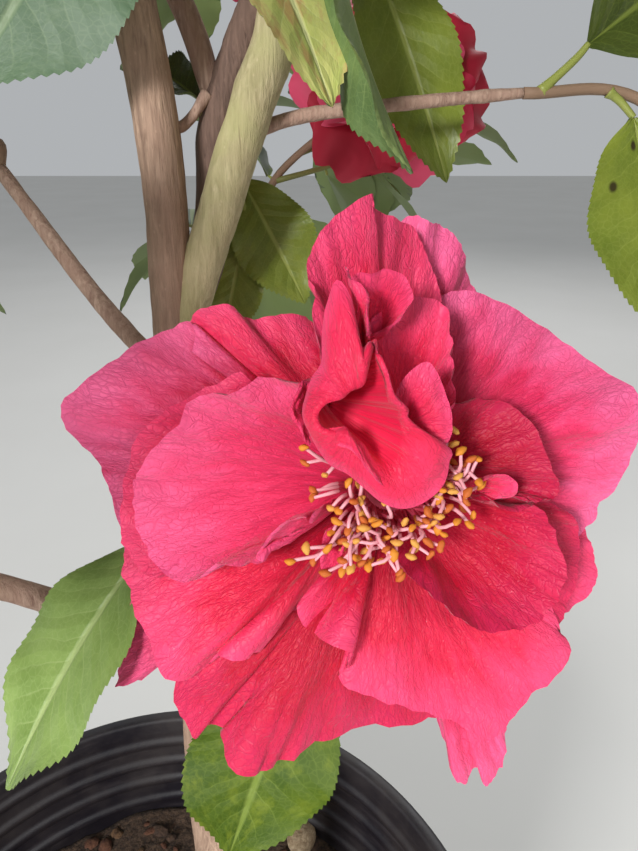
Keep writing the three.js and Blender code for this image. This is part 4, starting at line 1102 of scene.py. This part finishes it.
PETALOIDS = {
    "lobe_upper": dict(claw=(368, 348, 18), lift=1.6, belly=1.6, rim=[
        (371, 336, 22), (388, 328, 24), (402, 317, 26), (413, 299, 27), (411, 284, 28), (402, 273, 29),
        (388, 269, 29.5), (372, 273, 30), (359, 273, 29), (349, 279, 28)]),
    "flap_right": dict(claw=(394, 432, 21), lift=1.3, belly=3, rim=[
        (390, 405, 26), (397, 388, 28), (411, 370, 29.5), (427, 361, 30), (437, 372, 29.5), (447, 396, 28),
        (452, 419, 27.4), (451, 438, 26.8), (440, 449, 26.2), (420, 450, 26)]),
    "lip_lower": dict(claw=(346, 426, 31.5), lift=1, belly=0.8, rim=[
        (311, 430, 30), (321, 440, 30.8), (336, 446, 31.2), (350, 450, 31.2), (361, 460, 30),
        (371, 475, 28.6), (383, 489, 27.8)]),
    "fold_left": dict(claw=(312, 408, 20), lift=1, belly=1.5, rim=[
        (309, 382, 24), (301, 381, 25), (294, 396, 26), (289, 409, 26.5), (291, 419, 26), (299, 428, 25.5),
        (303, 440, 25), (309, 446, 24)]),
    "strip_upper": dict(claw=(364, 350, 27), lift=0.9, belly=0.6, rim=[
        (357, 336, 30), (356, 318, 31), (356, 300, 31.5), (350, 284, 31.5), (346, 266, 31), (350, 278, 32.5),
        (361, 284, 33.5), (366, 298, 34), (367, 318, 34), (370, 334, 34)]),
    "strip_stamens": dict(claw=(352, 508, 10), lift=1, belly=1.5, rim=[
        (330, 530, 19), (321, 548, 20), (319, 566, 20.5), (328, 575, 20.5), (337, 571, 20.5), (343, 556, 20),
        (349, 538, 19)]),
    "lobe_right": dict(claw=(452, 480, 8), lift=1.4, belly=2, rim=[
        (478, 492, 17), (481, 484, 19), (489, 478, 21), (499, 476, 22), (510, 480, 21.5), (517, 489, 20),
        (512, 497, 18), (496, 499, 16)]),
}
ANTHER_PLACES = [
    (304, 447), (305, 463), (326, 475), (349, 483), (354, 502), (386, 502), (337, 521), (348, 531),
    (364, 528), (377, 523), (390, 531), (405, 522), (413, 528), (429, 512), (439, 516), (458, 522),
    (428, 543), (415, 544), (393, 555), (386, 549), (382, 562), (369, 566), (361, 563), (351, 569),
    (343, 572), (343, 560), (347, 545), (328, 548), (314, 561), (307, 548), (290, 561), (325, 573),
    (454, 444), (461, 451), (471, 459), (458, 476), (480, 482), (468, 493), (453, 492), (443, 490),
    (448, 509), (454, 430),
]
HIDDEN_STAMENS = 64
CALYX_SCALES = 9


def bloom_frame():
    rises = radians(BLOOM_FACES_UP)
    axes = np.array([[1, 0, 0], [0, sin(rises), cos(rises)], [0, -cos(rises), sin(rises)]])
    return lambda points: np.asarray(points, float) @ axes + np.array(RECEPTACLE)


from_bloom = bloom_frame()


def seen_at(pixel_x, pixel_y, height):
    """The place in the bloom's frame that the photograph shows at a pixel, at a given height."""
    away = (LENS_HEIGHT - height) / FOCAL_PIXELS
    x = (pixel_x - PHOTO_MIDDLE[0]) * away + LENS_OFF[0]
    return np.array([x, (PHOTO_MIDDLE[1] - pixel_y) * away + LENS_OFF[1], height])


def peaks(places, at):
    """The sum of smooth humps, each given by its place, its height and its width."""
    return sum(height * np.exp(-(((at - place) / width) ** 2)) for place, height, width in places)


def petal_grid(
        rim, claw, lift, seed, belly, folds=(), curls=(), ruffle=1.6, pleats=1.0, rows=40, columns=56):
    """A petal as ribs from its claw to its margin, with pleats, crinkles and a ruffled rim, and its plan."""
    rim = np.array(rim, float)
    if np.cross(rim[0] - claw, rim[-1] - claw)[2] > 0:
        rim = rim[::-1]
        folds, curls = ([(1 - place, *size) for place, *size in humps] for humps in (folds, curls))
    handles, v = np.linspace(0, 1, len(rim)), np.linspace(0, 1, columns)
    edge = np.stack([through(handles, rim[:, k], v) for k in range(3)], -1)
    around = np.concatenate([[0], np.cumsum(np.linalg.norm(np.diff(edge, axis=0), axis=1))])
    ragged = 0.014 * rough(around / 3.0, seed, 0.0) + 0.008 * rough(around / 1.1, seed, 1.0)
    out = (edge - claw) * (1 + ragged)[:, None]
    length = np.linalg.norm(out, axis=1)
    u, v = spans(np.linspace(0.04, 1, rows), v)
    points = np.array(claw, float) + out * u[..., None]
    points[..., 2] = claw[2] + out[:, 2] * u**lift + belly * np.sin(np.pi * u) * (1 - 0.35 * (2 * v - 1) ** 2)
    across = np.broadcast_to(around, u.shape)
    grown_out = smoothstep(0.15, 0.9, u)
    pleat = 2.0 * rough(across / 22, u * 1.3, seed + 1) + 1.3 * rough(across / 11, u * 1.6, seed)
    pleat = pleats * (pleat + 0.5 * rough(across / 5, u * 2, seed + 2)) * u + peaks(folds, v) * grown_out
    side = np.maximum(smoothstep(0.1, 0, v), smoothstep(0.9, 1, v))
    crinkle = 0.4 * rough(across / 2.8, u * 6, seed + 7) * grown_out
    crinkle = crinkle + 0.9 * ruffle * rough(u * 7, v * 2, seed + 11) * side * u
    frill = rough(across / 7, seed + 3.0, 0.0) + 0.6 * rough(across / 3, seed + 5.0, 0.0)
    frill = (frill + 0.3 * rough(across / 1.5, seed + 9.0, 0.0)) * ruffle * u**6
    points = points + grid_normals(points) * (pleat + crinkle + frill)[..., None]
    for curl in curls:
        roll = (peaks([curl], v) * smoothstep(0.35, 1, u))[..., None]
        inward = -unit(out) * 0.4 * roll * smoothstep(0.7, 1, u)[..., None]
        points = points + grid_normals(points) * roll + inward
    plan = np.stack([u * length + PETAL_PLAN_LENGTH - length.max(), across + seed * 100, u], -1)
    return points, plan


def sheet_piece(name, points, plan, thickness, materials, slot, place=np.asarray):
    bundle = Bundle()
    bundle.sheet(points, thickness, 0, len(materials) - 1, place)
    return bundle.piece(name, materials, slot, plan)


def make_trumpet():
    """The rolled petaloids at the middle, which open as one trumpet."""
    rows, columns, waist = 48, 180, 0.58
    turns, *values = np.array(TRUMPET + [(363, *TRUMPET[0][1:])]).T
    at = np.linspace(turns[0], turns[-1], columns, endpoint=False)
    mouth, mouth_rise, margin, margin_rise = (through(turns, value, at) for value in values)
    turn, u = np.broadcast_arrays(np.radians(at), np.linspace(0.03, 1, rows)[:, None])
    inner, outer = np.clip(u / waist, 0, 1), np.clip((u - waist) / (1 - waist), 0, 1)
    reach = mouth * inner**0.62 + (margin - mouth) * outer
    throat, throat_rise = np.array(TRUMPET_THROAT[:2]), TRUMPET_THROAT[2]
    centre = throat + (np.array(TRUMPET_CENTRE) - throat) * inner[..., None]
    swell = np.sqrt(np.clip(margin - mouth, 0, 40) / 40) * 1.8 * np.sin(np.pi * outer)
    rise = throat_rise + (mouth_rise - throat_rise) * inner**1.5 + (margin_rise - mouth_rise) * outer + swell
    pixels = centre[..., 0] + reach * np.cos(turn), centre[..., 1] - reach * np.sin(turn)
    x, y, _ = seen_at(*pixels, rise)
    crinkle = 0.18 * rough(x / 3, y / 3, rise / 3) + 0.7 * outer**3 * rough(x / 5, y / 5, 4.0)
    points = np.stack([x, y, rise + crinkle], -1)
    # The plan starts 46 mm out, so the trumpet takes the outer petal colours, not the deep heart: painted
    # light that stands in for light through its thin walls.
    plan = np.stack([46 + 12 * outer, turn * 14, outer], -1)
    normals = grid_normals(np.concatenate([points, points[:, :1]], 1))[:, :-1]
    lower = points - normals * 0.5 * np.minimum(1, 3 * (1 - outer))[..., None]
    index = np.arange(rows * columns).reshape(rows, columns)
    under = index + rows * columns
    faces = grid_quads(index, wraps=True) + inside_out(grid_quads(under, wraps=True))
    faces += grid_quads(np.stack([under[0], index[0]]), wraps=True)
    bundle = Bundle()
    bundle.add(from_bloom(np.stack([points, lower])), faces)
    bundle.piece("bloom_trumpet", [PETAL_LIT_AND_SHADED_TONES["mid"]], "petal", plan)


def make_petaloids():
    calmer = {"ruffle": 0.5, "pleats": 0.35, "rows": 24, "columns": 40}
    for number, (name, petal) in enumerate(PETALOIDS.items()):
        seen = {"rim": [seen_at(*place) for place in petal["rim"]], "claw": seen_at(*petal["claw"])}
        points, plan = petal_grid(seed=number * 2.3 + 80, **{**calmer, **petal, **seen})
        sheet_piece(f"petaloid_{name}", points, plan, 0.4, [PETAL_LIT_AND_SHADED_TONES["mid"]], "petal", from_bloom)


def add_stamen(bundle, tip, foot_reach, size, look, random):
    """A stamen of the large bloom: a filament that arches out from the ring, and its anther."""
    turn = np.arctan2(tip[1], tip[0])
    foot = polar(foot_reach, turn, 7)
    bow = np.array([-sin(turn), cos(turn), 0]) * 7 * (random() - 0.5)
    middle = foot * 0.42 + tip * 0.58 + bow + np.array([0, 0, 2 + 3 * random()])
    add_filament(bundle, [from_bloom(foot), from_bloom(middle), from_bloom(tip)], 0.45, 6, 0, 1)
    way = np.array([random() - 0.5, random() - 0.5, 0.5 * (random() - 0.3)])
    add_anther(bundle, from_bloom(tip), from_bloom(tip + way) - from_bloom(tip), size, look, random)


def make_bloom_stamens():
    bundle = Bundle()
    random = seeded(41)
    for number, pixel in enumerate(ANTHER_PLACES):
        tip = seen_at(*pixel, 20 + 4 * random())
        add_stamen(bundle, tip, 7.5, 2.1 + 0.7 * random(), 2 + number % 3, random)
    for number in range(HIDDEN_STAMENS):
        turn = 2.9 + 3.9 * random()
        reach = 7 + 10 * random()
        tip = polar(reach, turn, 16 + 5 * random())
        add_stamen(bundle, tip, 6.5, 2 + 0.6 * random(), 2 + number % 3, random)
    bundle.piece("bloom_stamens", STAMEN_LOOKS, "petal")


def make_calyx():
    """The bloom's foot: overlapping green scales on a core."""
    bundle = Bundle()
    profile = [(0.4, -14), (3, -13.8), (7.5, -11), (9.6, -7), (10.4, -2), (7.5, 3), (5, 6), (0.4, 7)]
    bundle.tube(from_bloom(lathe(profile, 28)))
    u, v = spans(np.linspace(0.02, 1, 9), np.linspace(-1, 1, 9))
    half = 0.62 * np.sin(np.pi * np.clip(u * 0.9 + 0.06, 0, 1)) ** 0.6
    reach = 3.5 + 8.4 * np.sin(np.pi / 2 * u)
    for scale in range(CALYX_SCALES):
        angle = scale * GOLDEN_ANGLE + half * v
        rise = -13.6 + (9 + scale * 0.5) * u**1.4
        bundle.sheet(polar(reach, angle, rise), 0.5, 1, place=from_bloom)
    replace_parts(bundle.piece("bloom_calyx", [FILAMENT_FOOT, BUD_SCALE], "petal"), "main_bloom")


def make_bloom():
    make_calyx()
    for number, (name, given) in enumerate(PETALS.items()):
        petal = {**PETAL, **given}
        tone, sinks, claw_rise = petal.pop("tone"), petal.pop("sinks"), petal.pop("claw")
        turns, reaches, rises = np.array(petal.pop("rim"), float).T
        rim = polar(reaches * (1 + sinks / (LENS_HEIGHT - 10)), np.radians(turns), rises - sinks)
        middle = rim.mean(0)
        claw = CLAW_RING * middle / np.hypot(*middle[:2])
        claw[2] = claw_rise
        points, plan = petal_grid(rim, claw, seed=number * 3.7 + 1, **petal)
        sheet_piece(f"petal_{name}", points, plan, 0.5, [PETAL_LIT_AND_SHADED_TONES[tone]], "petal", from_bloom)
    make_trumpet()
    make_petaloids()
    make_bloom_stamens()


# Sprays beside the large bloom

LEAF_TONE = {
    "sage": leaf_look("leaf_sage", (142, 166, 90), (112, 138, 64), (166, 184, 118)),
    "lime": leaf_look("leaf_lime", (86, 106, 26), (58, 82, 18), (122, 140, 60), blemish=(116, 130, 38)),
    # The leaf's own pale mottling, lightened further by painted light.
    "mottled_and_lit": leaf_look(
        "leaf_mottled_and_lit", (226, 220, 140), (196, 206, 112), (222, 222, 160), blemish=(206, 156, 108)),
    # The leaf's green, greyed by a painted reflection of the sky on its gloss.
    "grey_sheen": leaf_look("leaf_grey_sheen", (98, 120, 92), (80, 104, 76), (124, 142, 108), gloss=0.55),
    "folded": leaf_look("leaf_folded", (104, 128, 74), (78, 102, 56), (138, 158, 98)),
    "olive": leaf_look("leaf_olive", (134, 146, 54), (108, 124, 42), (158, 168, 84)),
    "spotted": leaf_look(
        "leaf_spotted", (134, 146, 54), (108, 124, 42), (158, 168, 84), spots=[(0.34, 0.64), (0.14, 0.19)]),
    "deep": leaf_look("leaf_deep", (70, 84, 24), (56, 70, 22), (110, 124, 50)),
}
LEAF_BACK = leaf_look("leaf_back", (134, 152, 92), (118, 138, 80), (158, 170, 112), gloss=0.6)

# Each leaf starts from a share of its spray's stem, or from a stalk of its own.
SPRAYS = {
    "bloom_spray": {
        "stem": [
            (20.5, 70, 424), (44, 60, 426), (66, 45, 433), from_bloom([0, 0, -26]), from_bloom([0, 0, -13])],
        "radius": (3.4, 2.5),
        "lower_left": dict(tone="sage", stalk=[(46, 59, 426.5), (33, 36, 431), (20.2, 19.2, 427.6)],
                           tip=(-12.2, -12.2, 379.1), up=UP, width=36),
        "lower": dict(tone="lime", stalk=[(66, 45, 433), (61, 27, 417), (57.1, 14.1, 400.1)],
                      tip=(35.7, 2.5, 327.8), width=40),
    },
    "top_spray": {
        "stem": [(11, 80.5, 578), (26, 74, 582), (46, 71, 576), (66, 69, 566)],
        "radius": (2.6, 1.6),
        "top_middle": dict(tone="mottled_and_lit", share=0.5, tip=(65.8, 55.7, 524.8), up=(0.2, -0.3, 1), width=40),
        "top_folded": dict(
            tone="folded", share=0.96, tip=(82.9, 48.8, 509.9), up=(-0.95, -0.16, -0.15), width=23,
            fold=0.75),
        "top_left": dict(tone="grey_sheen", share=0.16, tip=(-21, 57, 528), up=(0.3, -0.8, 0.5), width=46),
    },
    "back_spray": {
        "stem": [(46, 85, 529), (58, 99, 545), (68, 112, 562), (76, 117, 573)],
        "radius": (2.4, 1.6),
        "back_broad": dict(tone="olive", share=0.95, tip=(102.1, 100, 504.7), width=29),
    },
    "hanging_spray": {
        "stem": [(30.5, 94, 497), (33.5, 104, 504), (37, 112, 505)],
        "radius": (2.2, 1.5),
        "hanging_right": dict(tone="olive", share=0.95, tip=(57.5, 102, 466), width=27),
        "hanging_left": dict(tone="olive", stalk=[(33.5, 104, 504), (36.5, 107, 500), (38, 107.5, 492)],
                             tip=(28.5, 103, 452), width=20),
    },
    "stem_leaf": {
        "rolled": dict(tone="deep", stalk=[(30, 89, 523), (28.5, 92.5, 525.5), (27.5, 96, 527.2)],
                       tip=(13, 98, 536), up=(0, -0.5, 1), width=17, fold=0.6),
    },
    "right_twig": {
        "right_top": dict(tone="deep", stalk=[(122.9, 86.3, 528.9), (131.7, 88, 536.7), (135, 88.5, 540.5)],
                          tip=(175, 42, 577), width=40),
        "right": dict(tone="spotted", stalk=[(142.5, 88, 528.9), (146, 87.5, 526.5), (149.8, 86, 522.5)],
                      tip=(156.7, 60, 469.1), width=38),
    },
}


def known_leaf(name, base, tip, width, tone, up=TOWARDS_VIEWER, fold=0.2):
    t, s = spans(np.linspace(0, 1, 97), np.linspace(-1, 1, 21))
    points = leaf_shape(
        base, tip, up, width, t, s, arch=0.04, fold=fold, wave=1.2, phase=0.2, tooth=0.9, teeth=32)
    plan = np.stack([t, s, np.full_like(t, len(name) * 1.7)], -1)
    sheet_piece(name, points, plan, 0.5, [LEAF_TONE[tone], LEAF_BACK], "leaf")


def make_sprays():
    for name, spray in SPRAYS.items():
        wood = Bundle()
        leaves = dict(spray)
        stem, ends = leaves.pop("stem", None), leaves.pop("radius", None)
        if stem:
            add_limb(wood, Path(stem), list(enumerate(ends)), 14, 60, 0, bark_relief(0.16, 21))
        for leaf_name, leaf in leaves.items():
            shape = dict(leaf)
            stalk, share = shape.pop("stalk", None), shape.pop("share", None)
            if stalk:
                add_limb(wood, Path(stalk), [(0, 1.7), (0.2, 1.2), (1, 0.9)], 10, 24, 1)
            known_leaf(f"leaf_{leaf_name}", stalk[-1] if stalk else Path(stem).at(share), **shape)
        piece = wood.piece(f"wood_{name}", [BARK_TWIG, PETIOLE], "bark")
        if stem:
            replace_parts(piece, name)


# Pot, soil and stage


def wall_radius(height):
    return POT_BASE_RADIUS + (WALL_TOP_RADIUS - POT_BASE_RADIUS) * height / COLLAR_FOOT


def inner_radius(height):
    return wall_radius(min(height, COLLAR_FOOT)) - POT_WALL + max(0, height - COLLAR_FOOT) * 0.11


def ribbed_wall(top, steps=60):
    """The inside of the rim, with a round rib at each pitch, down to the soil."""
    places = []
    for step in range(steps):
        height = top - step * (top - SOIL_LEVEL) / steps
        phase = (top - 1 - height) / POT_RIB_PITCH % 1
        rib = 1.5 * smoothstep(0.15, 0.4, phase) * smoothstep(0.75, 0.45, phase)
        places.append((inner_radius(height) + 0.3 - rib, height))
    return places


def drill_drains(pot):
    for hole in range(DRAIN_HOLES):
        place = polar(POT_BASE_RADIUS * DRAIN_RING * MM, 2 * pi * (hole + 0.5) / DRAIN_HOLES, 0)
        bpy.ops.mesh.primitive_cylinder_add(
            vertices=24, radius=DRAIN_RADIUS * MM, depth=12 * MM, location=place)
        drill = bpy.context.object
        cut = pot.modifiers.new("drain", "BOOLEAN")
        cut.operation, cut.object, cut.solver = "DIFFERENCE", drill, "EXACT"
        bpy.context.view_layer.objects.active = pot
        bpy.ops.object.modifier_apply(modifier=cut.name)
        bpy.data.objects.remove(drill)


def make_pot():
    base, wall, rim = POT_BASE_RADIUS, WALL_TOP_RADIUS, POT_RIM_RADIUS
    lip_foot = POT_HEIGHT - 6
    profile = [
        (0.5, 0.2), (base * 0.55, 0.2), (base - 12, 0), (base - 3, 0), (base - 0.8, 0.8), (base, 3),
        (wall_radius(100), 100), (wall, COLLAR_FOOT - 0.6), (wall + 0.6, COLLAR_FOOT),
        (wall + COLLAR_STEP - 0.5, COLLAR_FOOT + 1.4), (wall + COLLAR_STEP, COLLAR_FOOT + 2.4),
        (rim - 4.5, lip_foot - 2.4), (rim - 1.2, lip_foot - 1.2), (rim, lip_foot), (rim, POT_HEIGHT - 1.8),
        (rim - 0.6, POT_HEIGHT - 0.6), (rim - 2, POT_HEIGHT), (rim - 5, POT_HEIGHT),
        (rim - 6.2, POT_HEIGHT - 0.6), (rim - 6.6, POT_HEIGHT - 2), *ribbed_wall(lip_foot - 1),
        (inner_radius(SOIL_LEVEL - 20), SOIL_LEVEL - 20), (base - POT_WALL, POT_WALL), (0.5, POT_WALL),
    ]
    bundle = Bundle()
    bundle.tube(lathe(profile, POT_SIDES))
    pot = bundle.piece("pot_shell", [pot_look()], "pot")
    drill_drains(pot)
    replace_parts(pot, "pot")


def from_trunk(x, y):
    return np.hypot(x - TRUNK_FOOT[0], y - TRUNK_FOOT[1])


def soil_height(x, y):
    dip = 2.2 + 1.6 * np.sin(x * 0.09 + 1) + 1.4 * np.sin(y * 0.11 + 2)
    return SOIL_LEVEL - np.maximum(0, dip) * smoothstep(40, 75, from_trunk(x, y))


def make_soil():
    sides, foot_radius = 110, POT_BASE_RADIUS - 3.4
    rim = wall_radius(SOIL_LEVEL) - POT_WALL - 0.4
    r, turn = spans(np.linspace(0.6, rim, 46), np.arange(sides) * 2 * np.pi / sides)
    x, y = r * np.cos(turn), r * np.sin(turn)
    lumps = 1.6 * rough(x / 9, y / 9, 1.0) + 1.1 * rough(x / 3.6, y / 3.6, 5.0)
    z = soil_height(x, y) - 1.2 + lumps * smoothstep(16, 30, from_trunk(x, y))
    points = np.concatenate([polar(r, turn, z), polar(foot_radius, turn[:1], POT_WALL + CLEARANCE)])
    bundle = Bundle()
    bundle.add(points, inside_out(tube_faces(*points.shape[:2])))
    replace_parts(bundle.piece("soil_mix", [soil_look("soil", (52, 40, 33), (112, 88, 70))], "soil"), "soil")
    make_litter(rim)


def add_lump(bundle, x, y, rise, size, look, random):
    """A chip or a stone on the soil: a rounded box with broken corners."""
    u, v = spans(np.linspace(0.06, 0.94, 5) * np.pi, np.arange(7) * 2 * np.pi / 7)
    ball = polar(np.sin(u), v, np.cos(u))
    ball = ball * (0.8 + 0.35 * np.array([random() for _ in range(35)]).reshape(5, 7, 1))
    turn, tilt = ANY_TURN * random(), 0.7 * (random() - 0.5)
    spin = np.array(Matrix.Rotation(turn, 3, "Z") @ Matrix.Rotation(tilt, 3, "X"))
    centre = np.array([x, y, float(soil_height(x, y)) + rise])
    bundle.add(centre + (ball * np.array(size)) @ spin.T, inside_out(tube_faces(5, 7)), look)


CHIPS = 620
# Each stone's place on the soil, and its size.
STONES = [(53, 96, 9), (30, -58, 4), (-38, 30, 5), (70, 44, 4.5), (-12, -70, 3.5)]


def make_litter(rim):
    """Chips of bark and a few stones, strewn on the soil."""
    chips, stones = Bundle(), Bundle()
    random = seeded(77)
    for _ in range(CHIPS):
        r, turn = (rim - 5) * sqrt(random()), 6.283 * random()
        x, y = r * cos(turn), r * sin(turn)
        if from_trunk(x, y) > 22:
            size = 1.3 + 3.6 * random() ** 2
            sizes = (size * (1 + random()), size, size * 0.45)
            add_lump(chips, x, y, -0.8, sizes, int(random() * 2.99), random)
    looks = [
        soil_look("chip_dark", (58, 44, 36), (96, 72, 56)),
        soil_look("chip_brown", (92, 66, 46), (134, 102, 72)),
        soil_look("chip_red", (84, 50, 38), (120, 80, 58)),
    ]
    chips.piece("bark_chips", looks, "soil")
    for x, y, size in STONES:
        add_lump(stones, x, y, 0.2 * size, (size * 1.2, size, size * 0.7), 0, random)
    piece = stones.piece("stones", [soil_look("stone", (150, 124, 94), (206, 184, 152))], "soil")
    smooth = piece.modifiers.new("round", "SUBSURF")
    smooth.levels = smooth.render_levels = 2


# Each light's place, what it aims at, its size and its watts.
LIGHTS = {
    "key": ((-0.78, -1.5, 1.14), (0.07, 0, 0.46), 0.4, 35),
    "fill": ((1.05, -1.1, 1.25), (0.08, 0, 0.46), 0.7, 9),
    "back": ((0.6, 1.8, 2.0), (0, 0, 0.6), 1.4, 26),
}


def make_stage():
    mesh = bpy.data.meshes.new("floor")
    mesh.from_pydata([(-8, -8, 0), (8, -8, 0), (8, 8, 0), (-8, 8, 0)], [], [(0, 1, 2, 3)])
    mesh.materials.append(floor_look())
    placed("floor", mesh)
    world = bpy.data.worlds.new("studio")
    world.use_nodes = True
    sky = world.node_tree.nodes["Background"].inputs
    sky["Color"].default_value = (0.86, 0.89, 0.92, 1)
    sky["Strength"].default_value = 0.5
    bpy.context.scene.world = world
    for name, (place, aim, size, watts) in LIGHTS.items():
        light = bpy.data.lights.new(name, "AREA")
        light.size, light.energy = size, watts
        lamp = placed(name, light)
        lamp.location = place
        lamp.rotation_euler = (Vector(aim) - Vector(place)).to_track_quat("-Z", "Y").to_euler()


def make_camera():
    camera = bpy.data.cameras.new("camera")
    camera.sensor_width = SENSOR
    camera.lens = SENSOR * FOCAL_PIXELS / PHOTO_HEIGHT
    camera.clip_start = 0.01
    viewer = placed("camera", camera)
    viewer.location = Vector(EYE) * MM
    viewer.rotation_euler = (radians(90 - DIPS), 0, 0)
    bpy.context.scene.camera = viewer
    bpy.context.scene.view_settings.view_transform = "Standard"


make_camera()
make_stage()
make_pot()
make_soil()
make_trunk()
make_stems()
make_crown()
make_bloom()
make_sprays()
